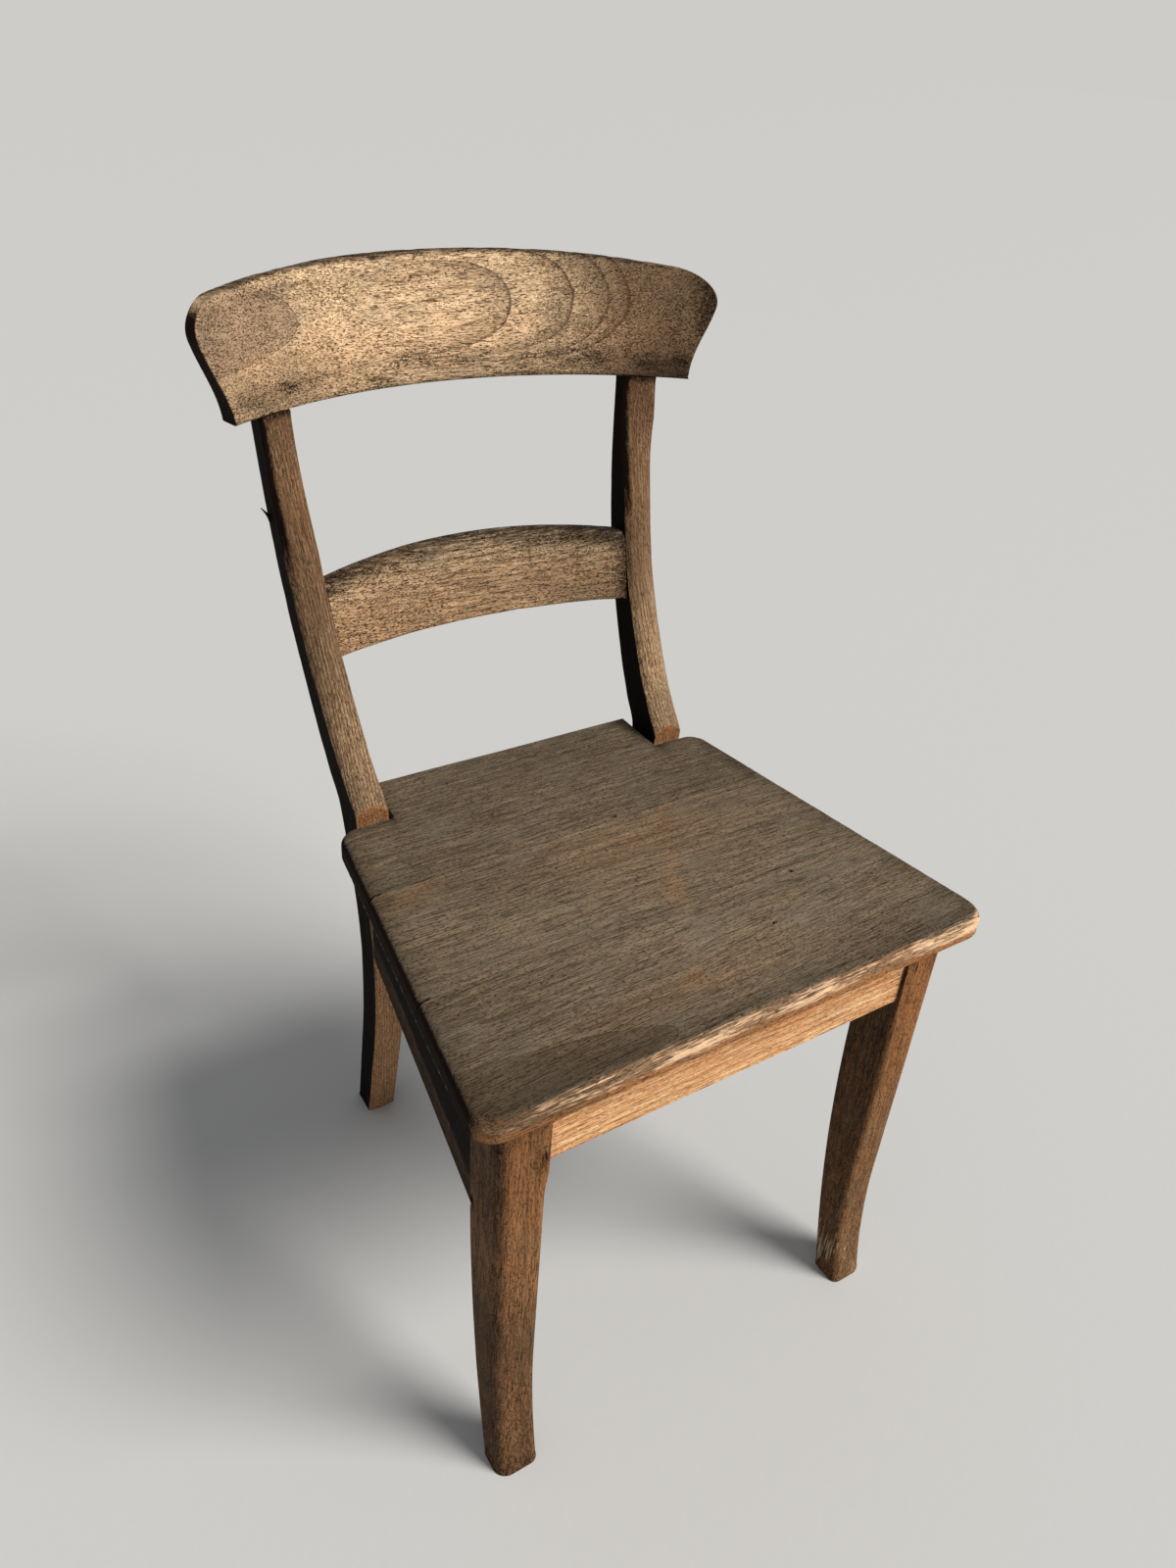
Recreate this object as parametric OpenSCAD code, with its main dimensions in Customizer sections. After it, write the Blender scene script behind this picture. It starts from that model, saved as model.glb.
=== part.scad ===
// Solid-wood dining chair with a curved crest rail, a plank seat and sabre legs.
// Millimetres, +Z up, front towards -Y. The origin is on the floor, under the middle of the chair.
// Depths (y) are first counted backwards from the front edge of the seat, then shifted as a whole.

/* [Seat] */
// Height of the top of the seat above the floor
seat_h = 450; // [400:5:540]
// Thickness of the seat boards
seat_t = 23; // [16:1:30]
// Width of the seat at its front edge
seat_front_w = 475; // [400:5:570]
// How far the front edge of the seat sits off centre
seat_off = 4.5; // [-6:0.5:6]
// Width of the seat on the line of the post toes
seat_rear_w = 378; // [350:2:450]
// Depth of the seat from its front edge to the post toes
seat_d = 345; // [290:5:420]
// How far the seat runs back between the posts
seat_tongue_d = 52; // [48:1:60]
// Radius of the front corners in plan
seat_corner_r = 24; // [12:1:40]
// Radius of the ears beside the posts in plan
ear_r = 17; // [6:1:17]
// Radius of the upper nosing
nosing_top_r = 8; // [3:1:11]
// Radius of the lower nosing
nosing_low_r = 5; // [2:1:8]
// Depth of the front board, measured on the centre line
front_board_d = 127; // [80:1:150]
// Depth of the middle board, measured on the centre line
middle_board_d = 124; // [90:1:150]
// Slope of the glued joints across the seat
board_skew = 0.012; // [-0.03:0.001:0.03]

/* [Front legs] */
// Width of a front leg at the seat
leg_w = 42; // [34:1:50]
// Width of a front leg at the floor
foot_w = 39; // [26:1:46]
// Depth of a front leg at the seat
leg_d = 46; // [36:1:55]
// Depth of a front leg at the floor
foot_d = 29; // [22:1:40]
// Overall width over the outer faces of the front legs
leg_spread = 418; // [360:2:440]
// Set-back of the leg faces behind the front edge of the seat
leg_setback = 12; // [8:1:30]
// Forward sweep of the front feet
front_sweep = 15; // [0:1:30]
// Radius of the outer front corner of the leg
leg_outer_r = 13; // [3:1:16]
// Radius of the inner front corner of the leg
leg_front_r = 8; // [3:1:12]
// Radius of the rear corners of the leg
leg_rear_r = 3; // [1:0.5:6]

/* [Back posts] */
// Thickness of a post, side to side
post_w = 30; // [24:1:38]
// Overall width over the posts at the height of the seat
post_spread = 340; // [300:2:360]
// Outward slope of the posts, in mm for each mm of height
post_splay = 0.055; // [0:0.005:0.08]
// Height of the underside of the crest rail above the seat
back_rise = 316; // [250:2:400]
// How far the posts lean back at the crest rail, behind the toe line
back_lean = 117; // [90:1:150]
// How far the rear feet stand behind the toe line
rear_sweep = 77; // [40:1:110]
// Depth of a post under the crest rail
post_top_d = 26; // [20:1:32]
// Depth of a post at the seat
post_seat_d = 44; // [40:1:46]
// Depth of a rear leg at the floor
rear_foot_d = 30; // [24:1:40]
// Height of the rounded crown on the front of a post
post_crown = 7; // [2:0.5:9]
// Height of the crown on the front of a rear leg
rear_leg_crown = 2; // [1:0.5:4]
// Radius of the rear corners of a post
post_rear_r = 3; // [1:0.5:6]

/* [Crest rail] */
// Width of the crest rail along its underside
crest_low_w = 419; // [390:1:500]
// Width of the crest rail at its widest
crest_high_w = 469; // [420:2:560]
// Height of the crest rail at its centre
crest_h = 102; // [80:1:130]
// How much lower the shoulders are than the centre
crest_arch = 15; // [4:1:20]
// Radius of the shoulders
shoulder_r = 26; // [8:1:30]
// Height of the widest point above the underside
crest_wide_h = 75; // [50:1:90]
// Thickness of the crest rail along its underside
crest_t = 21; // [18:1:28]
// Thickness of the crest rail along its top
crest_top_t = 13; // [12:1:24]
// Outward flare of its ends, for each mm of thickness
crest_flare = 0.25; // [0:0.05:0.5]
// Depth of the curve of the crest rail over its lower width
crest_bow = 65; // [50:1:90]
// Backward slope of the crest rail
crest_slope = 0.24; // [0:0.01:0.35]
// How far its face lies behind the front edges of the posts
crest_set = 3; // [1:0.5:6]
// Radius of the softened edges of the rails
rail_edge_r = 3; // [1:0.5:5]

/* [Middle rail] */
// Height of the lower edge of the middle rail above the seat
mid_rail_rise = 118; // [90:2:140]
// Height of the middle rail at its centre
mid_rail_h = 71; // [50:1:90]
// How much lower its top is at the posts
mid_rail_arch = 9; // [0:1:14]
// Thickness of the middle rail
mid_rail_t = 19; // [16:1:22]
// Depth of the curve of the middle rail between the posts
mid_rail_bow = 22; // [0:1:35]
// Backward slope of the middle rail
mid_rail_slope = 0.29; // [0.1:0.01:0.35]
// Radius of its rounded top edge
mid_rail_top_r = 8; // [3:1:8]

/* [Aprons] */
// Height of the front and back aprons
apron_h = 57; // [40:1:75]
// Height of the side aprons
side_apron_h = 130; // [60:2:140]
// Thickness of the front and back aprons
apron_t = 20; // [16:1:22]
// Thickness of the side aprons
side_apron_t = 18; // [14:1:20]
// Set-back of an apron behind the faces of the legs
apron_reveal = 4; // [2:0.5:6]
// Set-back of the side aprons behind the outer faces of the legs and posts
side_reveal = 2.5; // [1:0.5:6]

/* [Joinery] */
// Thickness of the tenons of the aprons
tenon_t = 9; // [6:1:10]
// Length of the tenons of the aprons
tenon_l = 17; // [10:1:18]
// Shoulder above and below a tenon
tenon_shoulder = 8; // [5:1:12]
// Gap between a tenon and its mortise, and between faces that meet
fit = 0.15; // [0.1:0.05:0.3]
// Length of the two legs of a corner block
block_leg = 46; // [36:1:50]
// Height of a corner block
block_h = 32; // [24:1:36]
// Shank diameter of the screws
screw_d = 4; // [3:0.5:5]
// Head diameter of the screws
screw_head_d = 8; // [6:0.5:9]
// Depth of block left under the head of a block screw, mm
block_bite = 12; // [8:0.5:16]
// Wood left over the tip of a block screw, mm
screw_cover = 6; // [3:0.5:10]
// Diameter of the pins through the tenons
pin_d = 2.5; // [2:0.5:4]
// Length of the pins through the tenons
pin_l = 26; // [20:1:28]

/* [Hidden] */

// Colours of the weathered wood, its fresher faces and the metal
wood_grey = "#7d6e58";
wood_brown = "#8a6440";
wood_fresh = "#b9794a";
wood_dark = "#4a3524";
iron = "#55504b";

under = seat_h - seat_t;              // height of the underside of the seat
crest_z = seat_h + back_rise;         // height of the underside of the crest rail
crest_radius = (pow(crest_low_w / 2, 2) + crest_bow * crest_bow) / (2 * crest_bow);
// Front of the crest rail at its centre
crest_front_y = seat_d + back_lean + crest_set + arc_drop(post_tenon_x(), crest_low_w / 2, crest_bow);
total_front = min(0, leg_setback - front_sweep);
total_back = crest_front_y + crest_skin(crest_h - rail_edge_r) + crest_slope * (crest_h - rail_edge_r);
y_shift = -(total_front + total_back) / 2;

// ---- general functions ----

// Point on a circular arc that is flat in the middle: depth lost at x, for a bow over a half width
function arc_drop(x, half, bow) =
    bow < 0.01 ? 0 :
    let (radius = (half * half + bow * bow) / (2 * bow)) radius - sqrt(radius * radius - x * x);

// Smooth curve through listed [height, value] pairs, read at a height
function curve_span(pts, z, i = 0) =
    (i >= len(pts) - 2 || z < pts[i + 1][0]) ? i : curve_span(pts, z, i + 1);
function curve_slope(pts, i) =
    i == 0 ? (pts[1][1] - pts[0][1]) / (pts[1][0] - pts[0][0]) :
    i == len(pts) - 1 ? (pts[i][1] - pts[i - 1][1]) / (pts[i][0] - pts[i - 1][0]) :
    (pts[i + 1][1] - pts[i - 1][1]) / (pts[i + 1][0] - pts[i - 1][0]);
function curve_at(pts, z) =
    let (i = curve_span(pts, z),
         h = pts[i + 1][0] - pts[i][0],
         t = (z - pts[i][0]) / h,
         a = pts[i][1],
         b = pts[i + 1][1],
         m = curve_slope(pts, i) * h,
         n = curve_slope(pts, i + 1) * h)
    a * (2 * t * t * t - 3 * t * t + 1) + m * (t * t * t - 2 * t * t + t)
    + b * (3 * t * t - 2 * t * t * t) + n * (t * t * t - t * t);

// Points of a quarter round about [x, y], from one angle to another
function round_corner(x, y, r, from, to, n) =
    [for (i = [0:n]) let (a = from + (to - from) * i / n) [x + r * cos(a), y + r * sin(a)]];

// Closed solid through rings that hold the same number of points, lowest ring first.
// Its two ends are fans of triangles about a point inside each, so an end may have notches.
module loft(rings, inside = undef) {
    count = len(rings[0]);
    levels = len(rings);
    all = count * levels;
    hub = inside == undef ? [] : [for (r = [rings[0], rings[levels - 1]]) [inside[0], inside[1], r[0][2]]];
    sides = [for (k = [0:levels - 2]) for (i = [0:count - 1])
        let (j = (i + 1) % count)
        each [[k * count + i, (k + 1) * count + j, (k + 1) * count + i],
              [k * count + i, k * count + j, (k + 1) * count + j]]];
    low = [for (i = [count - 1:-1:0]) i];
    high = [for (i = [0:count - 1]) (levels - 1) * count + i];
    ends = inside == undef ? [low, high] :
        [for (i = [0:count - 1]) let (j = (i + 1) % count)
            each [[low[i], low[j], all], [high[i], high[j], all + 1]]];
    polyhedron(points = concat([for (r = rings) each r], hub), faces = concat(sides, ends), convexity = 6);
}

// Shift from the seat-front frame to the frame of the whole chair
module placed() {
    translate([0, y_shift, 0]) children();
}

// ---- seat ----

// Corners of the seat outline: x, y, radius, and how much the edge that leaves it is nosed
notch_x = post_inner_x(under) - fit;
seat_corners = [
    [seat_off - seat_front_w / 2, 0, seat_corner_r, 1],
    [seat_off + seat_front_w / 2, 0, seat_corner_r, 1],
    [seat_rear_w / 2, seat_d - fit, ear_r, 0.35],
    [notch_x, seat_d - fit, 0, 0],
    [notch_x, seat_d + seat_tongue_d, 2, 0.35],
    [-notch_x, seat_d + seat_tongue_d, 2, 0],
    [-notch_x, seat_d - fit, 0, 0.35],
    [-seat_rear_w / 2, seat_d - fit, ear_r, 1]];

// Meeting point of the two edges at a corner after each has moved inwards
function unit(v) = v / norm(v);
function inset_corner(i, d) =
    let (n = len(seat_corners),
         p = seat_corners[i],
         q = seat_corners[(i + n - 1) % n],
         r = seat_corners[(i + 1) % n],
         u = unit([p[0] - q[0], p[1] - q[1]]),
         v = unit([r[0] - p[0], r[1] - p[1]]),
         du = d * q[3],
         dv = d * p[3],
         cross_uv = u[0] * v[1] - u[1] * v[0],
         a = [p[0] - u[1] * du, p[1] + u[0] * du],
         b = [p[0] - v[1] * dv, p[1] + v[0] * dv],
         w = b - a,
         t = (w[0] * v[1] - w[1] * v[0]) / cross_uv)
    a + u * t;
// Rounded corner between three inset corners
function fillet(q, p, r, radius, n) =
    let (u = unit(q - p),
         v = unit(r - p),
         half = acos(u * v) / 2,
         reach = radius / tan(half),
         centre = p + unit(u + v) * (radius / sin(half)),
         s = p + u * reach - centre,
         e = p + v * reach - centre,
         a0 = atan2(s[1], s[0]),
         turn = (atan2(e[1], e[0]) - a0 + 540) % 360 - 180)
    [for (k = [0:n]) centre + radius * [cos(a0 + turn * k / n), sin(a0 + turn * k / n)]];
function seat_ring(d, z) =
    let (n = len(seat_corners), c = [for (i = [0:n - 1]) inset_corner(i, d)])
    [for (i = [n - 1:-1:0])
        let (size = seat_corners[i][2],
             arc = size == 0 ? [c[i]] : fillet(c[(i + n - 1) % n], c[i], c[(i + 1) % n],
                max(0.4, size - d * seat_corners[i][3]), size > 5 ? 8 : 1))
        each [for (k = [len(arc) - 1:-1:0]) [arc[k][0], arc[k][1], z]]];

module seat_slab() {
    steps = 4;
    loft(concat(
        [for (k = [0:steps]) let (a = 90 * k / steps)
            seat_ring(nosing_low_r * (1 - sin(a)), under + nosing_low_r * (1 - cos(a)))],
        [for (k = [0:steps]) let (a = 90 * k / steps)
            seat_ring(nosing_top_r * (1 - cos(a)), seat_h - nosing_top_r * (1 - sin(a)))]),
        inside = [0, seat_d / 3]);
}

// Strip across the seat between two glued joints, given by their depths on the centre line
module board_strip(from_y, to_y) {
    reach = seat_front_w;
    translate([0, 0, under - 1])
        linear_extrude(seat_t + 2)
            polygon([[-reach, from_y - board_skew * reach], [reach, from_y + board_skew * reach],
                     [reach, to_y + board_skew * reach], [-reach, to_y - board_skew * reach]]);
}

module seat_board(from_y, to_y) {
    placed() difference() {
        intersection() {
            seat_slab();
            board_strip(from_y, to_y);
        }
        seat_screw_set(fit);
    }
}

front_joint = front_board_d;
rear_joint = front_board_d + middle_board_d;
module seat_board_front() color(wood_grey) seat_board(-seat_d, front_joint - fit / 2);
module seat_board_middle() color(wood_grey) seat_board(front_joint + fit / 2, rear_joint - fit / 2);
module seat_board_rear() color(wood_grey) seat_board(rear_joint + fit / 2, 2 * seat_d);

// ---- front legs ----

leg_top = under - fit;
function leg_front_y(z) =
    let (start = 0.33 * under) leg_setback - (z < start ? front_sweep * pow(1 - z / start, 2) : 0);
function leg_rear_y(z) =
    let (start = 0.75 * under, gain = leg_d - foot_d + front_sweep)
    leg_setback + leg_d - (z < start ? gain * pow(1 - z / start, 2) : 0);
function leg_width(z) = foot_w + (leg_w - foot_w) * z / under;
function leg_outer_x(z) = leg_spread / 2 - (leg_w - leg_width(z)) / 2;
function leg_inner_x(z) = leg_outer_x(z) - leg_width(z);

// The inner front corner stays square beside the apron and rounds off below it
function leg_corner_r(z) =
    let (t = max(0, min(1, (under - apron_h - z) / 40)))
    1.5 + (leg_front_r - 1.5) * t * t * (3 - 2 * t);

// Section of the right front leg at a height, clockwise from above
function leg_ring(z) =
    let (x0 = leg_inner_x(z), x1 = leg_outer_x(z), y0 = leg_front_y(z), y1 = leg_rear_y(z),
         f = leg_outer_r, r = leg_rear_r, g = leg_corner_r(z),
         outline = concat(
            round_corner(x0 + g, y0 + g, g, 180, 270, 5), round_corner(x1 - f, y0 + f, f, 270, 360, 6),
            round_corner(x1 - r, y1 - r, r, 0, 90, 2), round_corner(x0 + r, y1 - r, r, 90, 180, 2)))
    [for (k = [len(outline) - 1:-1:0]) [outline[k][0], outline[k][1], z]];

module front_leg() {
    rings = 26;
    placed() difference() {
        loft([for (k = [0:rings]) leg_ring(leg_top * pow(k / rings, 1.2))]);
        front_apron_tenon(fit);
        side_apron_tenon_front(fit);
        apron_pin_set(fit / 2);
    }
}

module front_leg_right() color(wood_brown) front_leg();
module front_leg_left() color(wood_brown) mirror([1, 0, 0]) front_leg();

// ---- back posts ----

// Front edges of a post, as [height, depth]: rear leg, toe at the seat, then the leaning back
post_front = [
    [0, seat_d + rear_sweep],
    [0.2 * seat_h, seat_d + 0.62 * rear_sweep],
    [0.43 * seat_h, seat_d + 0.21 * rear_sweep],
    [0.64 * seat_h, seat_d - 1],
    [0.84 * seat_h, seat_d - 4],
    [seat_h, seat_d - 2],
    [seat_h + 0.08 * back_rise, seat_d + 0.145 * back_lean],
    [seat_h + 0.16 * back_rise, seat_d + 0.3 * back_lean],
    [seat_h + 0.32 * back_rise, seat_d + 0.54 * back_lean],
    [seat_h + 0.48 * back_rise, seat_d + 0.73 * back_lean],
    [seat_h + 0.73 * back_rise, seat_d + 0.91 * back_lean],
    [crest_z, seat_d + back_lean]];
// Depth of a post, front edge to back, as [height, depth]
post_depth = [
    [0, rear_foot_d],
    [0.45 * seat_h, rear_foot_d + 4],
    [0.75 * seat_h, rear_foot_d + 5],
    [seat_h, post_seat_d],
    [seat_h + 0.12 * back_rise, post_seat_d - 5],
    [seat_h + 0.35 * back_rise, post_top_d + 5],
    [seat_h + 0.7 * back_rise, post_top_d],
    [crest_z, post_top_d]];
function post_outer_x(z) = post_spread / 2 + post_splay * (z - seat_h);
function post_inner_x(z) = post_outer_x(z) - post_w;
function post_front_y(z) = curve_at(post_front, z);
function post_rear_y(z) = post_front_y(z) + curve_at(post_depth, z);
// The crown swells above the seat and stays low on the leg
function crown(z) =
    z < seat_h - 30 ? rear_leg_crown :
    z > seat_h ? post_crown : rear_leg_crown + (post_crown - rear_leg_crown) * (z - seat_h + 30) / 30;
// From the underside of the seat to the top of the toe, the front is cut back flat to meet the seat
toe_h = 14;
function toe_cut(y, z) = (z >= under - 1 && z <= seat_h + toe_h) ? max(y, seat_d) : y;

function post_ring(z) =
    let (x0 = post_inner_x(z), x1 = post_outer_x(z), y0 = post_front_y(z), y1 = post_rear_y(z),
         c = crown(z), r = post_rear_r, n = 8,
         outline = concat(
            [for (k = [0:n]) let (s = 2 * k / n - 1)
                [x0 + (x1 - x0) * k / n, toe_cut(y0 - c * (1 - s * s), z)]],
            round_corner(x1 - r, y1 - r, r, 0, 90, 2), round_corner(x0 + r, y1 - r, r, 90, 180, 2)))
    [for (k = [len(outline) - 1:-1:0]) [outline[k][0], outline[k][1], z]];

post_top = crest_z - fit;
post_levels = concat(
    [for (k = [0:17]) (under - 1.2) * k / 17],
    [under - 1, seat_h - 12, seat_h, seat_h + 4, seat_h + 7, seat_h + 10],
    [seat_h + toe_h, seat_h + toe_h + 0.2],
    [for (k = [1:20]) seat_h + toe_h + (post_top - seat_h - toe_h) * k / 20]);

module back_post() {
    placed() {
        difference() {
            loft([for (z = post_levels) post_ring(z)]);
            mid_rail_tenon(fit);
            back_apron_tenon(fit);
            side_apron_tenon_rear(fit);
        }
        post_tenon(0);
    }
}

module back_post_right() color(wood_brown) back_post();
module back_post_left() color(wood_brown) mirror([1, 0, 0]) back_post();

// Tenon on top of the right post, which enters the underside of the crest rail
post_tenon_w = 18;
post_tenon_d = 9;
post_tenon_l = 30;
function post_tenon_x() = (post_inner_x(crest_z) + post_outer_x(crest_z)) / 2;
// It is turned to follow the curve and stands in the middle of the thickness
module post_tenon(grow) {
    turn = asin(post_tenon_x() / crest_radius);
    mid_y = crest_y(post_tenon_x(), crest_z) + crest_t * 0.46 / cos(turn) + crest_slope * post_tenon_l / 2;
    translate([post_tenon_x(), mid_y, post_top - 2 * grow])
        rotate([0, 0, -turn])
            translate([-post_tenon_w / 2 - grow, -post_tenon_d / 2 - grow, 0])
                cube([post_tenon_w + 2 * grow, post_tenon_d + 2 * grow, post_tenon_l + 3 * grow]);
}

// ---- crest rail ----

// Front face of the crest rail at x and at a height
function crest_y(x, z) =
    crest_front_y - arc_drop(x, crest_low_w / 2, crest_bow) + crest_slope * (z - crest_z);
// Half width at a height above the underside: it sweeps out, then rounds in at the shoulder
crest_side_h = crest_h - crest_arch;
function crest_half(h) =
    let (low = crest_low_w / 2,
         wide = crest_high_w / 2,
         t = min(1, h / crest_wide_h),
         s = max(0, h - (crest_side_h - shoulder_r)) / shoulder_r)
    low + (wide - low) * (0.35 * t + 0.65 * bunched(t)) - shoulder_r * (1 - sqrt(max(0, 1 - s * s)));
// Thickness of the rail at a height above its underside
function crest_skin(h) = crest_t + (crest_top_t - crest_t) * h / crest_h;
// Top of the rail at x, above the underside
function crest_top(x) = crest_h - crest_arch * pow(abs(x) / (crest_high_w / 2), 2.4);

// Closed shell of a bent rail: columns across, rows up, a front and a back skin
module rail_shell(columns, rows, at) {
    count = 2 * (rows + 1);
    rings = [for (i = [0:columns]) concat(
        [for (k = [0:rows]) at(i / columns * 2 - 1, k / rows, 0)],
        [for (k = [rows:-1:0]) at(i / columns * 2 - 1, k / rows, 1)])];
    sides = [for (i = [0:columns - 1]) for (k = [0:count - 1])
        let (j = (k + 1) % count)
        each [[i * count + k, (i + 1) * count + j, (i + 1) * count + k],
              [i * count + k, i * count + j, (i + 1) * count + j]]];
    start = [for (k = [0:rows - 1])
        each [[k, count - 2 - k, k + 1], [k, count - 1 - k, count - 2 - k]]];
    base = columns * count;
    finish = [for (k = [0:rows - 1])
        each [[base + k, base + k + 1, base + count - 2 - k],
              [base + k, base + count - 2 - k, base + count - 1 - k]]];
    polyhedron(points = [for (r = rings) each r], faces = concat(start, sides, finish), convexity = 6);
}

// Rows bunch up near both edges of a rail, where it is rounded
function bunched(v) = (1 - cos(180 * v)) / 2;
// How far a skin draws in near an edge that is d away, for an edge radius r
function edge_pull(d, r) = d >= r ? 0 : r - sqrt(max(0, r * r - (r - d) * (r - d)));

// It thins towards its top, and its ends flare a little towards the back
crest_point = function (u, v, skin)
    let (w = bunched(v),
         h0 = w * crest_side_h,
         x = sin(90 * u) * crest_half(h0),
         h = w * crest_top(x),
         z = crest_z + h,
         edge = min(h, crest_top(x) - h, (crest_half(h0) - abs(x)) + 0.4),
         pull = edge_pull(edge, rail_edge_r),
         depth = skin == 0 ? pull : crest_skin(h) - pull,
         xd = x * (1 + crest_flare * depth / (crest_low_w / 2)))
    [xd, crest_front_y - crest_radius + sqrt(pow(crest_radius + depth, 2) - xd * xd) + crest_slope * h, z];

module crest_rail() {
    color(wood_brown) placed() difference() {
        rail_shell(40, 12, crest_point);
        post_tenon(fit);
        mirror([1, 0, 0]) post_tenon(fit);
    }
}

// ---- middle rail ----

mid_rail_z = seat_h + mid_rail_rise;
mid_rail_half = post_inner_x(mid_rail_z);
// Its face lies just behind the front edges of the posts
mid_rail_end_y = post_front_y(mid_rail_z) + 5;
function mid_rail_y(x, z) =
    mid_rail_end_y + mid_rail_bow - arc_drop(x, mid_rail_half, mid_rail_bow)
    + mid_rail_slope * (z - mid_rail_z);
function mid_rail_top(x) = mid_rail_h - mid_rail_arch * pow(abs(x) / mid_rail_half, 2);

mid_point = function (u, v, skin)
    let (w = bunched(v),
         x0 = u * mid_rail_half,
         h = w * mid_rail_top(x0),
         z = mid_rail_z + h,
         x = u * (post_inner_x(z) - fit),
         low = edge_pull(h, rail_edge_r),
         high = edge_pull(mid_rail_top(x0) - h, mid_rail_top_r),
         pull = max(low, high))
    [x, mid_rail_y(x, z) + (skin == 0 ? pull : mid_rail_t - max(low, high / 2)), z];

// Straight tenon on the right end of the middle rail
mid_tenon_t = 8;
mid_tenon_l = 15;
module mid_rail_tenon(grow) {
    z0 = mid_rail_z + tenon_shoulder + 4;
    h = mid_rail_h - mid_rail_arch - 2 * tenon_shoulder - 8;
    x0 = post_inner_x(mid_rail_z) - 8;
    y0 = mid_rail_y(mid_rail_half, z0) + (mid_rail_t - mid_tenon_t) / 2;
    translate([x0, y0, z0]) rotate([-atan(mid_rail_slope), 0, 0])
        translate([0, -grow, -grow])
            cube([8 + mid_tenon_l + grow, mid_tenon_t + 2 * grow, h + 2 * grow]);
}

module mid_rail() {
    color(wood_grey) placed() {
        rail_shell(26, 12, mid_point);
        mid_rail_tenon(0);
        mirror([1, 0, 0]) mid_rail_tenon(0);
    }
}

// ---- front and back aprons ----

apron_z = under - apron_h;
front_apron_y = leg_setback + apron_reveal;
back_apron_y = seat_d + 14;

apron_tenon_z = apron_z + tenon_shoulder;
apron_tenon_h = apron_h - 2 * tenon_shoulder;
apron_tenon_in = (apron_t - tenon_t) / 2;

// Tenons carry the name of the apron and are drawn for the right side
module front_apron_tenon(grow) {
    translate([leg_inner_x(under) - 4, front_apron_y + apron_tenon_in - grow, apron_tenon_z - grow])
        cube([4 + tenon_l + grow, tenon_t + 2 * grow, apron_tenon_h + 2 * grow]);
}

module front_apron() {
    end_x = leg_inner_x(under) - fit;
    low_x = leg_inner_x(apron_z) - fit;
    color(wood_fresh) placed() difference() {
        union() {
            translate([0, front_apron_y + apron_t, 0]) rotate([90, 0, 0])
                linear_extrude(apron_t)
                    polygon([[-low_x, apron_z], [low_x, apron_z],
                             [end_x, under - fit], [-end_x, under - fit]]);
            front_apron_tenon(0);
            mirror([1, 0, 0]) front_apron_tenon(0);
        }
        apron_pin_set(fit / 2);
        mirror([1, 0, 0]) apron_pin_set(fit / 2);
        block_screw_set(0);
    }
}

module back_apron_tenon(grow) {
    translate([post_inner_x(apron_z) - 4, back_apron_y + apron_tenon_in - grow, apron_tenon_z - grow])
        cube([tenon_l + grow, tenon_t + 2 * grow, apron_tenon_h + 2 * grow]);
}

module back_apron() {
    low_x = post_inner_x(apron_z) - fit;
    end_x = post_inner_x(under) - fit;
    color(wood_dark) placed() difference() {
        union() {
            translate([0, back_apron_y + apron_t, 0]) rotate([90, 0, 0])
                linear_extrude(apron_t)
                    polygon([[-low_x, apron_z], [low_x, apron_z],
                             [end_x, under - fit], [-end_x, under - fit]]);
            back_apron_tenon(0);
            mirror([1, 0, 0]) back_apron_tenon(0);
        }
        block_screw_set(0);
    }
}

// ---- side aprons ----

side_z = under - side_apron_h;
// Ends of the outer face of the right side apron, between the front leg and the post
side_front = [leg_outer_x(side_z) - side_reveal, leg_rear_y(under)];
side_rear = [post_outer_x(under - side_apron_h / 2) - side_reveal, side_rear_y(under)];
function side_rear_y(z) = post_front_y(z);

// Band of the side apron in plan, from one depth to another, a distance in from its outer face
module side_band(y0, y1, near, far, z0, z1) {
    slope = (side_rear[0] - side_front[0]) / (side_rear[1] - side_front[1]);
    spread = norm([1, slope]);
    translate([0, 0, z0])
        linear_extrude(z1 - z0)
            polygon([[side_front[0] + slope * (y0 - side_front[1]) - near * spread, y0],
                     [side_front[0] + slope * (y0 - side_front[1]) - far * spread, y0],
                     [side_front[0] + slope * (y1 - side_front[1]) - far * spread, y1],
                     [side_front[0] + slope * (y1 - side_front[1]) - near * spread, y1]]);
}

side_tenon_inset = (side_apron_t - tenon_t) / 2;
module side_apron_tenon_front(grow) {
    // Stops short of the tenon of the front apron
    side_band(front_apron_y + apron_t + 1 - grow, side_front[1] + 4, side_tenon_inset - grow,
        side_tenon_inset + tenon_t + grow, side_z + tenon_shoulder - grow, under - tenon_shoulder + grow);
}

module side_apron_tenon_rear(grow) {
    // Stops short of the tenon of the back apron
    side_band(side_rear[1] - 12, back_apron_y + (apron_t - tenon_t) / 2 - 2 + grow, side_tenon_inset - grow,
        side_tenon_inset + tenon_t + grow, side_z + tenon_shoulder - grow, under - tenon_shoulder + grow);
}

// Rear end of the side apron follows the curved front of the rear leg
module side_apron_body() {
    steps = 16;
    intersection() {
        side_band(side_front[1] + fit, side_rear[1] + 20, 0, side_apron_t, side_z, under - fit);
        translate([-1, 0, 0]) rotate([90, 0, 90]) linear_extrude(seat_front_w)
            polygon(concat([[0, side_z - 1]],
                [for (k = [0:steps]) let (z = side_z - 1 + (side_apron_h + 2) * k / steps)
                    [post_front_y(z) - crown(under) - fit, z]],
                [[0, under + 1]]));
    }
}

module side_apron() {
    placed() difference() {
        union() {
            side_apron_body();
            side_apron_tenon_front(0);
            side_apron_tenon_rear(0);
        }
        block_screw_set(0);
    }
}

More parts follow.
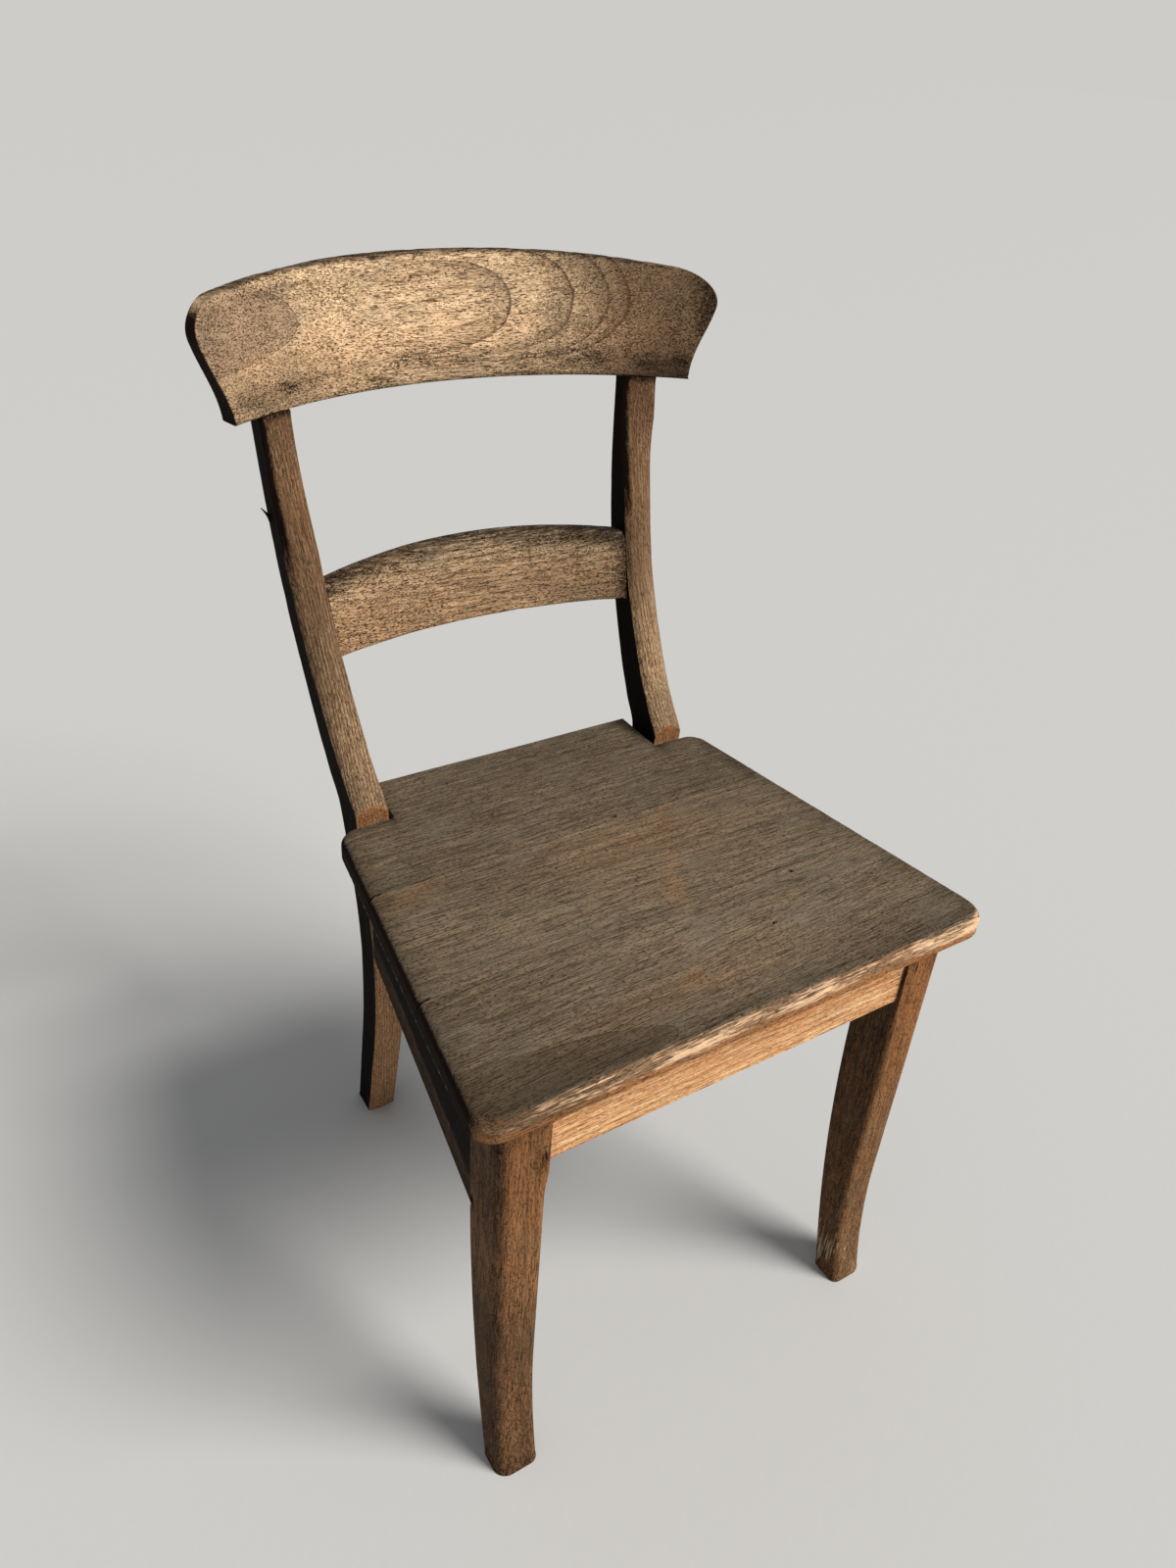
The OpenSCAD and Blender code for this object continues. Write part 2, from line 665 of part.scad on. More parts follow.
module side_apron_right() color(wood_dark) side_apron();
module side_apron_left() color(wood_dark) mirror([1, 0, 0]) side_apron();

// ---- corner blocks and fasteners ----

block_z = under - fit - block_h;
// Inner face of the right side apron at a depth
function side_inner_x(y) =
    let (slope = (side_rear[0] - side_front[0]) / (side_rear[1] - side_front[1]))
    side_front[0] + slope * (y - side_front[1]) - side_apron_t * norm([1, slope]);
front_block_y = front_apron_y + apron_t + fit;
rear_block_y = back_apron_y - fit;
front_clear_y = leg_rear_y(under) + fit;
rear_clear_y = post_front_y(under) - crown(under) - fit;
leg_clear_x = leg_inner_x(under) - fit;
post_clear_x = post_inner_x(block_z) - fit;

// Block in the front right corner: it lies on both aprons and is cut round the leg
module front_block_shape() {
    y1 = front_clear_y + block_leg;
    x1 = leg_clear_x - block_leg;
    linear_extrude(block_h)
        polygon([[x1, front_block_y], [leg_clear_x, front_block_y], [leg_clear_x, front_clear_y],
                 [side_inner_x(front_clear_y) - fit, front_clear_y], [side_inner_x(y1) - fit, y1],
                 [side_inner_x(y1) - fit - 8, y1], [x1, front_block_y + 8]]);
}

module rear_block_shape() {
    y1 = rear_clear_y - block_leg;
    x1 = post_clear_x - block_leg;
    linear_extrude(block_h)
        polygon([[x1, rear_block_y], [x1, rear_block_y - 8], [side_inner_x(y1) - fit - 8, y1],
                 [side_inner_x(y1) - fit, y1], [side_inner_x(rear_clear_y) - fit, rear_clear_y],
                 [post_clear_x, rear_clear_y], [post_clear_x, rear_block_y]]);
}

module block_bores() {
    block_screw_set(fit, block_leg);
    seat_screw_set(fit);
}

module front_block() {
    placed() difference() {
        translate([0, 0, block_z]) front_block_shape();
        block_bores();
    }
}

module rear_block() {
    placed() difference() {
        translate([0, 0, block_z]) rear_block_shape();
        block_bores();
    }
}

module corner_block_front_right() color(wood_brown) front_block();
module corner_block_front_left() color(wood_brown) mirror([1, 0, 0]) front_block();
module corner_block_rear_right() color(wood_brown) rear_block();
module corner_block_rear_left() color(wood_brown) mirror([1, 0, 0]) rear_block();

// Countersunk screw along +X, its head at the origin, with the hole that leads to its head
module screw(length, grow, recess = 0) {
    rotate([0, 90, 0]) {
        cylinder(h = length + grow, d = screw_d + 2 * grow, $fn = 24);
        cylinder(h = screw_d / 2 + grow, d1 = screw_head_d + 2 * grow, d2 = screw_d + 2 * grow, $fn = 24);
        if (recess > 0)
            translate([0, 0, -recess]) cylinder(h = recess, d = screw_head_d + 2 * grow, $fn = 24);
    }
}

// Screws of one side: each passes through a block into an apron, or up into the seat
module side_block_screws(grow, recess) {
    level = block_z + block_h / 2;
    ends = [[leg_clear_x - block_leg + 10, front_block_y + block_bite, -90],
            [post_clear_x - block_leg + 10, rear_block_y - block_bite, 90]];
    for (at = ends)
        translate([at[0], at[1], level]) rotate([0, 0, at[2]])
            screw(block_bite + apron_t - screw_cover, grow, recess);
    for (y = [front_clear_y + block_leg - 10, rear_clear_y - block_leg + 10])
        translate([side_inner_x(y) - fit - block_bite, y, level + 6])
            screw(block_bite + side_apron_t - screw_cover, grow, recess);
}

module block_screw_set(grow, recess = 0) {
    for (s = [0, 1]) mirror([s, 0, 0]) side_block_screws(grow, recess);
}

seat_screw_bite = 14;
// The head of a seat screw stands clear of the leg or post beside it
seat_screw_off = screw_head_d / 2 + 2;
module seat_screw_set(grow) {
    for (s = [0, 1]) mirror([s, 0, 0])
        for (at = [[side_inner_x(front_clear_y + 14) - 22, front_clear_y + seat_screw_off],
                   [side_inner_x(rear_clear_y - 14) - 24, rear_clear_y - seat_screw_off]])
            translate([at[0], at[1], block_z]) rotate([0, -90, 0]) screw(block_h + seat_screw_bite, grow);
}

module corner_block_screws() color(iron) placed() block_screw_set(0);
module seat_screws() color(iron) placed() seat_screw_set(0);

// Two pins through the face of the right front leg into the tenon of the front apron
module apron_pin_set(grow) {
    for (z = [apron_z + apron_h * 0.36, apron_z + apron_h * 0.72])
        translate([leg_inner_x(under) + 6, leg_setback + 0.6, z]) rotate([-90, 0, 0])
            cylinder(h = pin_l + grow, d = pin_d + 2 * grow, $fn = 24);
}

module front_apron_pins() {
    color(iron) placed() {
        apron_pin_set(0);
        mirror([1, 0, 0]) apron_pin_set(0);
    }
}

seat_board_front();
seat_board_middle();
seat_board_rear();
crest_rail();
mid_rail();
back_post_left();
back_post_right();
front_leg_left();
front_leg_right();
front_apron();
back_apron();
side_apron_left();
side_apron_right();
corner_block_front_left();
corner_block_front_right();
corner_block_rear_left();
corner_block_rear_right();
corner_block_screws();
seat_screws();
front_apron_pins();
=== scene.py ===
"""Weathered hardwood dining chair: detailed pieces, wood finishes and a studio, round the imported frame."""

import math
from functools import reduce

import bmesh
import bpy
import numpy as np
from bpy.props import FloatProperty, FloatVectorProperty, PointerProperty
from mathutils import Matrix, Vector


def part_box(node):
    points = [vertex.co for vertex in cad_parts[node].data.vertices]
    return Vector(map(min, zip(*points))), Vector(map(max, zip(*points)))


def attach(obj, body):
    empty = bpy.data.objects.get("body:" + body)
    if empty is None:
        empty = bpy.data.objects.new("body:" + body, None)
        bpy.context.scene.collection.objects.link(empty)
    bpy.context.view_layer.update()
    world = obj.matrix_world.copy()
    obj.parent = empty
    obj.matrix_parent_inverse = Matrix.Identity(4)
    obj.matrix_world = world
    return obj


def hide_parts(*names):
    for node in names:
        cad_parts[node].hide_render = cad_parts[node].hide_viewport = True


bl_info = {
    "name": "Weathered Dining Chair",
    "version": (1, 0, 0),
    "blender": (4, 5, 0),
    "location": "View3D > Sidebar > Chair",
    "description": "Builds the pieces, the worn wood finishes and the studio of a hardwood dining chair",
    "category": "Object",
}

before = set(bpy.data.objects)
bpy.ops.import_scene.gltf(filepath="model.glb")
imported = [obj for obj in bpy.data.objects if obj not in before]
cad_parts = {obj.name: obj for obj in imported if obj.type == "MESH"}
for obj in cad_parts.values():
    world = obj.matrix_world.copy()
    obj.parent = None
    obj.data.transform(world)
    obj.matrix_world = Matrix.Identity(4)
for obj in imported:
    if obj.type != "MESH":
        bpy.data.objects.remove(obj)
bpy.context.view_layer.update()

MM = 0.001
Y_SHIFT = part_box("seat_board_front")[0].y / MM  # depth of the seat's front edge, in the frame

# ---- sizes of the frame, in millimetres: depths are counted back from the front edge of the seat ----

SEAT_H = 450.0
SEAT_T = 23.0
SEAT_FRONT_W = 475.0
SEAT_OFF = 4.5
SEAT_REAR_W = 378.0
SEAT_D = 345.0
SEAT_TONGUE_D = 52.0
SEAT_CORNER_R = 24.0
EAR_R = 17.0
NOSING_TOP_R = 8.0
NOSING_LOW_R = 5.0
FRONT_JOINT = 127.0
REAR_JOINT = 251.0
BOARD_SKEW = 0.012
FIT = 0.15
UNDER = SEAT_H - SEAT_T

LEG_W = 42.0
FOOT_W = 39.0
LEG_D = 46.0
FOOT_D = 29.0
LEG_SPREAD = 418.0
LEG_SETBACK = 12.0
FRONT_SWEEP = 15.0
LEG_OUTER_R = 13.0
LEG_FRONT_R = 8.0
LEG_REAR_R = 3.0

POST_W = 30.0
POST_SPREAD = 340.0
POST_SPLAY = 0.055
BACK_RISE = 316.0
BACK_LEAN = 117.0
REAR_SWEEP = 77.0
POST_TOP_D = 26.0
POST_SEAT_D = 44.0
REAR_FOOT_D = 30.0
POST_CROWN = 7.0
REAR_LEG_CROWN = 2.0
POST_REAR_R = 3.0
TOE_H = 14.0

CREST_LOW_W = 419.0
CREST_HIGH_W = 469.0
CREST_H = 102.0
CREST_ARCH = 15.0
SHOULDER_R = 26.0
CREST_WIDE_H = 75.0
CREST_T = 21.0
CREST_TOP_T = 13.0
CREST_FLARE = 0.25
CREST_BOW = 65.0
CREST_SLOPE = 0.24
CREST_SET = 3.0
RAIL_EDGE_R = 3.0
MID_RAIL_RISE = 118.0
MID_RAIL_H = 71.0
MID_RAIL_ARCH = 9.0
MID_RAIL_T = 19.0
MID_RAIL_BOW = 22.0
MID_RAIL_SLOPE = 0.29
MID_RAIL_TOP_R = 8.0

APRON_H = 57.0
SIDE_APRON_H = 130.0
APRON_T = 20.0
SIDE_APRON_T = 18.0
APRON_REVEAL = 4.0
SIDE_REVEAL = 2.5
APRON_Z = UNDER - APRON_H
CREST_Z = SEAT_H + BACK_RISE
MID_RAIL_Z = SEAT_H + MID_RAIL_RISE

POST_FRONT = np.array([
    [0, SEAT_D + REAR_SWEEP],
    [0.2 * SEAT_H, SEAT_D + 0.62 * REAR_SWEEP],
    [0.43 * SEAT_H, SEAT_D + 0.21 * REAR_SWEEP],
    [0.64 * SEAT_H, SEAT_D - 1],
    [0.84 * SEAT_H, SEAT_D - 4],
    [SEAT_H, SEAT_D - 2],
    [SEAT_H + 0.08 * BACK_RISE, SEAT_D + 0.145 * BACK_LEAN],
    [SEAT_H + 0.16 * BACK_RISE, SEAT_D + 0.3 * BACK_LEAN],
    [SEAT_H + 0.32 * BACK_RISE, SEAT_D + 0.54 * BACK_LEAN],
    [SEAT_H + 0.48 * BACK_RISE, SEAT_D + 0.73 * BACK_LEAN],
    [SEAT_H + 0.73 * BACK_RISE, SEAT_D + 0.91 * BACK_LEAN],
    [CREST_Z, SEAT_D + BACK_LEAN]])
POST_DEPTH = np.array([
    [0, REAR_FOOT_D],
    [0.45 * SEAT_H, REAR_FOOT_D + 4],
    [0.75 * SEAT_H, REAR_FOOT_D + 5],
    [SEAT_H, POST_SEAT_D],
    [SEAT_H + 0.12 * BACK_RISE, POST_SEAT_D - 5],
    [SEAT_H + 0.35 * BACK_RISE, POST_TOP_D + 5],
    [SEAT_H + 0.7 * BACK_RISE, POST_TOP_D],
    [CREST_Z, POST_TOP_D]])


# ---- shape functions ----


def curve_at(pairs, z):
    """Smooth curve through [height, value] pairs, read at heights."""
    at, value = pairs[:, 0], pairs[:, 1]
    slope = np.empty(len(at))
    slope[0] = (value[1] - value[0]) / (at[1] - at[0])
    slope[-1] = (value[-1] - value[-2]) / (at[-1] - at[-2])
    slope[1:-1] = (value[2:] - value[:-2]) / (at[2:] - at[:-2])
    i = np.clip(np.searchsorted(at, z, side="right") - 1, 0, len(at) - 2)
    span = at[i + 1] - at[i]
    t = (z - at[i]) / span
    return (value[i] * (2 * t ** 3 - 3 * t * t + 1) + slope[i] * span * (t ** 3 - 2 * t * t + t)
            + value[i + 1] * (3 * t * t - 2 * t ** 3) + slope[i + 1] * span * (t ** 3 - t * t))


def arc_drop(x, half, bow):
    """Depth lost at x along a circular bow over a half width."""
    radius = (half * half + bow * bow) / (2 * bow)
    return radius - np.sqrt(radius * radius - x * x)


def bunched(v):
    """Steps that crowd towards both ends of 0 to 1."""
    return (1 - np.cos(np.pi * v)) / 2


def step(low, high, x):
    """Smooth rise from 0 to 1 between two values."""
    t = np.clip((x - low) / (high - low), 0, 1)
    return t * t * (3 - 2 * t)


def hump(x, centre, width):
    """Bell of height 1 about a centre."""
    return np.exp(-((x - centre) / width) ** 2)


def strongest(*layers):
    """The highest of several layers at each point, and never below 0."""
    return reduce(np.maximum, layers, 0)


def edge_pull(d, r):
    """How far a skin draws in at a distance d from an edge of radius r."""
    return np.where(d >= r, 0, r - np.sqrt(np.maximum(0, r * r - (r - np.minimum(d, r)) ** 2)))


def lattice(p, seed):
    """Smooth noise from -1 to 1 at points."""
    cell = np.floor(p).astype(np.int64)
    f = p - cell
    f = f * f * (3 - 2 * f)
    total = np.zeros(len(p))
    for corner in range(8):
        bit = np.array([corner & 1, corner >> 1 & 1, corner >> 2 & 1])
        c = cell + bit
        n = c[:, 0] * 374761393 + c[:, 1] * 668265263 + c[:, 2] * 912271 + seed * 1274126177
        n = (n ^ (n >> 13)) * 1274126177
        n = n ^ (n >> 16)
        weight = np.prod(np.where(bit, f, 1 - f), axis=1)
        total += ((n & 0xFFFF) / 32767.5 - 1) * weight
    return total


def noise(p, size, seed, octaves=2):
    """Layered smooth noise; size is the length of one swell along each axis, in millimetres."""
    total, reach = 0, 0
    for k in range(octaves):
        total = total + lattice(p / np.array(size) * 2 ** k + 17.3 * k, seed + k) / 2 ** k
        reach += 1 / 2 ** k
    return total / reach


# ---- meshes ----

FAR_FROM_TONGUE = 12.0  # distance painted where no darker tongue of wood is near


class Piece:
    """Vertices in millimetres, faces, and the wood coordinates painted on each vertex."""

    def __init__(self, name, points, faces):
        self.name = name
        self.points = points
        self.faces = faces
        self.normals = self.measure_normals()
        self.paint(points.T, 0, 0, 0, 0, 0)

    def to_bmesh(self):
        bm = bmesh.new()
        for p in self.points:
            bm.verts.new(p)
        bm.verts.ensure_lookup_table()
        for f in self.faces:
            bm.faces.new([bm.verts[i] for i in f])
        bmesh.ops.recalc_face_normals(bm, faces=bm.faces)
        return bm

    def measure_normals(self):
        bm = self.to_bmesh()
        self.faces = [[v.index for v in f.verts] for f in bm.faces]
        bm.normal_update()
        normals = np.array([v.normal[:] for v in bm.verts])
        bm.free()
        return normals

    def push(self, amount):
        """Moves the surface along its normals, in millimetres; a negative amount wears it away."""
        self.points = self.points + self.normals * np.asarray(amount)[:, None]

    def paint(self, grain, field, tone, dirt, bare, warm, edge=FAR_FROM_TONGUE):
        """Stores the wood coordinates, the growth field, the brightness, and the weather with the painted
        light and shade of each point.
        """
        level = np.zeros(len(self.points))
        self.grain = np.stack(grain, -1)
        self.figure = np.stack([level + field, level + edge, level + tone], -1)
        self.weather_and_light = np.stack([level + dirt, level + bare, level + warm], -1)

    def finish(self, material, slot, *nodes, mirror=False):
        """Makes the object, rides it on the chair and stands it in for its CAD nodes."""
        placed = (self.points + [0, Y_SHIFT, 0]) * MM
        faces = self.faces
        if mirror:
            placed = placed * [-1, 1, 1]
            faces = [f[::-1] for f in faces]
        mesh = bpy.data.meshes.new(self.name)
        mesh.from_pydata(placed.tolist(), [], faces)
        for label, values in (("grain", self.grain), ("figure", self.figure), ("weather_and_light", self.weather_and_light)):
            layer = mesh.attributes.new(label, "FLOAT_VECTOR", "POINT")
            layer.data.foreach_set("vector", np.ascontiguousarray(values, np.float32).ravel())
        mesh.polygons.foreach_set("use_smooth", [True] * len(mesh.polygons))
        mesh.set_sharp_from_angle(angle=math.radians(50))
        mesh.update()
        mesh.materials.append(material)
        ob = bpy.data.objects.new(self.name, mesh)
        bpy.context.scene.collection.objects.link(ob)
        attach(ob, "root")
        if nodes:
            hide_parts(*nodes)
        return ob


def slab(name, face, back, cells=None, wall=4):
    """Closed board between two grids of points; cells says which grid squares are there."""
    rows, cols = face.shape[0] - 1, face.shape[1] - 1
    if cells is None:
        cells = np.ones((rows, cols), bool)
    used = np.zeros((rows + 1, cols + 1), bool)
    for dj, di in ((0, 0), (0, 1), (1, 0), (1, 1)):
        used[dj:rows + dj, di:cols + di] |= cells
    number = np.full(used.shape, -1)
    number[used] = np.arange(used.sum())
    count = int(used.sum())
    points = [face[used], back[used]]
    faces = []
    js, iis = np.nonzero(cells)
    for j, i in zip(js.tolist(), iis.tolist()):
        a, b, c, d = number[j, i], number[j, i + 1], number[j + 1, i + 1], number[j + 1, i]
        faces.append([int(a), int(b), int(c), int(d)])
        faces.append([int(d) + count, int(c) + count, int(b) + count, int(a) + count])
    padded = np.pad(cells, 1)
    border = []
    for j, i in zip(js.tolist(), iis.tolist()):
        if not padded[j, i + 1]:
            border.append(((j, i + 1), (j, i)))
        if not padded[j + 2, i + 1]:
            border.append(((j + 1, i), (j + 1, i + 1)))
        if not padded[j + 1, i]:
            border.append(((j, i), (j + 1, i)))
        if not padded[j + 1, i + 2]:
            border.append(((j + 1, i + 1), (j, i + 1)))
    columns = {}
    extra = []
    total = 2 * count
    for pair in border:
        for at in pair:
            if at not in columns:
                top, low = face[at], back[at]
                ids = [int(number[at])]
                for k in range(1, wall):
                    extra.append(top + (low - top) * k / wall)
                    ids.append(total)
                    total += 1
                columns[at] = ids + [int(number[at]) + count]
    for p, q in border:
        for k in range(wall):
            faces.append([columns[p][k], columns[q][k], columns[q][k + 1], columns[p][k + 1]])
    if extra:
        points.append(np.array(extra))
    return Piece(name, np.concatenate(points), faces)


def stack(name, rings):
    """Closed bar through rings of points, each ring a level."""
    levels, around = rings.shape[:2]
    k, i = np.meshgrid(np.arange(levels - 1), np.arange(around), indexing="ij")
    j = (i + 1) % around
    quads = np.stack([k * around + i, k * around + j, (k + 1) * around + j, (k + 1) * around + i], -1)
    faces = quads.reshape(-1, 4).tolist()
    faces.append(list(range(around)))
    faces.append([(levels - 1) * around + n for n in range(around)])
    return Piece(name, rings.reshape(-1, 3), faces)


def outline(z, corners, fills):
    """Rings at heights z: rounded corners (x, y, radius, from, to, steps), joined by filled edges."""
    arcs = []
    for x, y, r, start, end, steps in corners:
        a = np.radians(np.linspace(start, end, steps + 1))
        r = np.broadcast_to(r, z.shape)
        arcs.append(np.stack([x[:, None] + r[:, None] * np.cos(a), y[:, None] + r[:, None] * np.sin(a)], -1))
    parts = []
    for k, arc in enumerate(arcs):
        parts.append(arc)
        if len(fills[k]):
            here, there = arc[:, -1:], arcs[(k + 1) % len(arcs)][:, :1]
            parts.append(here + (there - here) * np.asarray(fills[k])[None, :, None])
    flat = np.concatenate(parts, axis=1)
    height = np.broadcast_to(z[:, None, None], flat.shape[:2] + (1,))
    return np.concatenate([flat, height], -1)


def even(count):
    """Evenly spaced fractions strictly between 0 and 1."""
    return np.arange(1, count + 1) / (count + 1)


# ---- shader nodes ----


def linear(red, green, blue):
    """A colour given in 0-255 screen values, as the shader wants it."""
    out = []
    for c in (red, green, blue):
        c = c / 255
        out.append(c / 12.92 if c <= 0.04045 else ((c + 0.055) / 1.055) ** 2.4)
    return (*out, 1.0)


class Value:
    """A number socket that can be used in Python arithmetic."""

    def __init__(self, graph, socket):
        self.graph = graph
        self.socket = socket

    def math(self, kind, *others):
        return self.graph.node("ShaderNodeMath", {"operation": kind}, dict(enumerate((self, *others))))

    def __add__(self, other):
        return self.math("ADD", other)

    def __mul__(self, other):
        return self.math("MULTIPLY", other)

    def __sub__(self, other):
        return self.math("SUBTRACT", other)

    def __rsub__(self, other):
        return self.graph.node("ShaderNodeMath", {"operation": "SUBTRACT"}, {0: other, 1: self})

    def __abs__(self):
        return self.math("ABSOLUTE")

    __radd__ = __add__
    __rmul__ = __mul__

    def clamp(self):
        return self.graph.node("ShaderNodeClamp", {}, {"Value": self})

    def rise(self, low, high):
        """0 below low, 1 above high, smooth between; low may be the larger."""
        return self.graph.node("ShaderNodeMapRange", {"interpolation_type": "SMOOTHSTEP"},
                               {"Value": self, "From Min": low, "From Max": high})


class Graph:
    """The node tree of a material or of the world."""

    def __init__(self, owner):
        self.owner = owner
        owner.use_nodes = True
        self.tree = owner.node_tree
        self.tree.nodes.clear()

    def node(self, kind, settings=None, sockets=None, out=0):
        """Adds a node, applies settings, fills sockets and returns one output, or several for a tuple."""
        made = self.tree.nodes.new(kind)
        for key, value in (settings or {}).items():
            setattr(made, key, value)
        for key, value in (sockets or {}).items():
            if isinstance(value, Value):
                self.tree.links.new(value.socket, made.inputs[key])
            else:
                made.inputs[key].default_value = value
        if isinstance(out, tuple):
            return [Value(self, made.outputs[k]) for k in out]
        return Value(self, made.outputs[out]) if len(made.outputs) else None

    def mix(self, factor, first, second, blend="MIX"):
        """Mixes two colours."""
        return self.node("ShaderNodeMix", {"data_type": "RGBA", "blend_type": blend},
                         {0: factor, 6: first, 7: second}, out=2)

    def noise(self, place, scale, detail=2.0, rough=0.5, bend=0.0):
        return self.node("ShaderNodeTexNoise", {"noise_dimensions": "3D"},
                         {"Vector": place, "Scale": scale, "Detail": detail, "Roughness": rough,
                          "Distortion": bend})

    def stretched(self, place, along, across, deep):
        """Coordinates in which one unit is the given number of millimetres on each axis."""
        return self.node("ShaderNodeVectorMath", {"operation": "MULTIPLY"},
                         {0: place, 1: (1 / along, 1 / across, 1 / deep)})

    def own_place(self):
        """The object's own coordinates, in metres."""
        return self.node("ShaderNodeTexCoord", out="Object")

    def attribute(self, name):
        return self.node("ShaderNodeAttribute", {"attribute_name": name}, out=1)

    def split(self, vector):
        """The three parts of a vector."""
        return self.node("ShaderNodeSeparateXYZ", {}, {0: vector}, out=(0, 1, 2))

    def surface(self, colour, rough, height=None, depth=0.0004, metallic=0.0, gloss=0.5):
        """Ends the material in one surface shader."""
        sockets = {"Base Color": colour, "Roughness": rough, "Metallic": metallic,
                   "Specular IOR Level": gloss}
        if height is not None:
            sockets["Normal"] = self.node("ShaderNodeBump", {},
                                          {"Strength": 1.0, "Distance": depth, "Height": height})
        shader = self.node("ShaderNodeBsdfPrincipled", {}, sockets)
        self.node("ShaderNodeOutputMaterial", {}, {"Surface": shader})
        return self.owner


def wood(name, light, dark, ring, warm, grey, bare, dirt, *, painted=True,
         rings=0.5, pores=0.5, specks=0.5, patches=0.5, lobe=None):
    """Weathered hardwood. Light and dark are shader colours from the settings and the other colours are
    screen colours; the remaining values are strengths from 0 to 1. The dirt colour also paints shade and
    the bare colour also paints highlights, where the painted masks ask for them."""
    g = Graph(bpy.data.materials.new(name))
    if painted:
        place = g.attribute("grain")
        field, edge, tone = g.split(g.attribute("figure"))
        soil_and_shade, worn_and_highlight, ruddy = g.split(g.attribute("weather_and_light"))
    else:
        place = g.node("ShaderNodeVectorMath", {"operation": "SCALE"}, {0: g.own_place(), "Scale": 1 / MM})
        across = g.split(place)[1]
        field = across * 0.09 + g.noise(g.stretched(place, 180, 30, 30), 1.0) * 3

    fibre = g.noise(g.stretched(place, 15, 0.75, 0.75), 1.0, 3.0, 0.65)
    streak = g.noise(g.stretched(place, 150, 6.0, 6.0), 1.0, 2.0)
    vein = g.noise(g.stretched(place, 60, 2.2, 2.2), 1.0, 2.0)
    pore = g.noise(g.stretched(place, 3.6, 1.1, 1.1), 1.0, 1.0).rise(0.57, 0.64)
    crack = g.noise(g.stretched(place, 26, 1.2, 1.2), 1.0, 2.0, 0.6).rise(0.56, 0.66)
    fleck = g.noise(g.stretched(place, 1.6, 1.1, 1.1), 1.0, 2.0, 0.65)
    cloud = g.noise(g.stretched(place, 62, 38, 38), 1.0, 3.0)
    patch = g.noise(g.stretched(place, 30, 17, 17), 1.0, 2.0)
    chip = g.noise(g.stretched(place, 26, 1.7, 1.7), 1.0, 3.0, 0.65)

    blend = (fibre * 0.75 + streak * 0.2 + vein * 0.25 - 0.1).rise(0.34, 0.66)
    colour = g.mix(blend, (*dark, 1), (*light, 1))
    late = (field + vein * 0.06 + fleck * 0.02).math("FRACT")
    line = late.rise(0.86, 0.96) * late.rise(1.0, 0.985)
    colour = g.mix(late.rise(0.25, 0.95) * rings * 0.35, colour, linear(*ring))
    colour = g.mix(line * rings, colour, linear(*ring))
    colour = g.mix(cloud.rise(0.45, 0.72) * patches, colour, linear(*grey))
    if painted:
        tint = ruddy + ((streak - 0.5) * 0.5 + (chip - 0.5) * 1.6) * ruddy.rise(0.0, 0.35)
        colour = g.mix(tint.clamp(), colour, linear(*warm))
    rim = 0.0
    if lobe:
        inside = edge.rise(0.8, -2.5)
        rim = abs(edge + vein * 1.5 - 0.75).rise(1.3, 0.2)
        colour = g.mix(inside * 0.45, colour, linear(*lobe))
        colour = g.mix(rim * 0.6, colour, linear(*ring))
    colour = g.mix(pore * pores * (1.25 - cloud), colour, linear(*ring))
    colour = g.mix(crack * pores * 0.8, colour, linear(*ring))
    mould = fleck.rise(0.50, 0.60) * patch.rise(0.32, 0.60) * specks
    if painted:
        mould = mould * (soil_and_shade.rise(0.0, 0.5) * 0.7 + 0.5)
    colour = g.mix(mould, colour, linear(*dirt))
    height = fibre * 0.6 - pore * 0.6 * pores - crack * 0.6 * pores
    height = height - line * 0.35 * rings + fleck * 0.3 - mould * 0.3 - rim * 0.3
    rough = 0.58 + streak * 0.16
    if painted:
        broken = g.noise(g.stretched(place, 11, 2.2, 2.2), 1.0, 3.0, 0.65)
        # grime and painted shade: one mask lays the dirt colour on real grime and on faces, undersides and
        # recesses where shade falls
        grime_and_shade = soil_and_shade * 1.25
        grime_and_shade = grime_and_shade + (broken - 0.5) * 1.3 * soil_and_shade.rise(0.0, 0.2) * soil_and_shade.rise(1.15, 0.8)
        grime_and_shade = grime_and_shade.rise(0.12, 0.95)
        colour = g.mix(grime_and_shade, colour, linear(*dirt))
        # bare worn wood, and painted highlights where a mask asks for them
        shine = (worn_and_highlight * 1.15 + (chip - 0.5) * 3.0 * worn_and_highlight.rise(0.0, 0.15)).rise(0.35, 0.8)
        colour = g.mix(shine, colour, linear(*bare))
        colour = g.node("ShaderNodeVectorMath", {"operation": "SCALE"}, {0: colour, "Scale": tone + 1.0})
        height = height + shine * 0.35
        rough = rough + grime_and_shade * 0.25 - shine * 0.08
    return g.surface(colour, rough, height, gloss=0.09)


FINISHES = {}


def finish_once(name, part, **looks):
    """A wood finish with the light and dark grain set for a part, made the first time it is asked for."""
    if name not in FINISHES:
        colours = bpy.context.scene.chair_colours
        light, dark = getattr(colours, part + "_light"), getattr(colours, part + "_dark")
        FINISHES[name] = wood(name, light, dark, **looks)
    return FINISHES[name]


# ---- settings that a user may change ----


class ChairSizes(bpy.types.PropertyGroup):
    """Sizes and strengths of the visible pieces."""

    spacing: FloatProperty(name="Mesh spacing", description="Distance between points on the boards",
                           default=0.002, min=0.001, unit="LENGTH")
    nosing_wear: FloatProperty(name="Nosing wear", description="How deep the front edge of the seat is worn",
                               default=0.0011, unit="LENGTH")
    leg_wear: FloatProperty(name="Leg wear", description="How deep the legs and posts are worn",
                            default=0.0005, unit="LENGTH")
    rail_wear: FloatProperty(name="Rail wear", description="How deep the edges of the back rails are worn",
                             default=0.0007, unit="LENGTH")


def grain_colour(label, red, green, blue):
    """A colour setting with its default in screen values."""
    return FloatVectorProperty(name=label, description="Colour of the wood before dirt and wear",
                               subtype="COLOR", size=3, default=linear(red, green, blue)[:3], min=0, max=1)


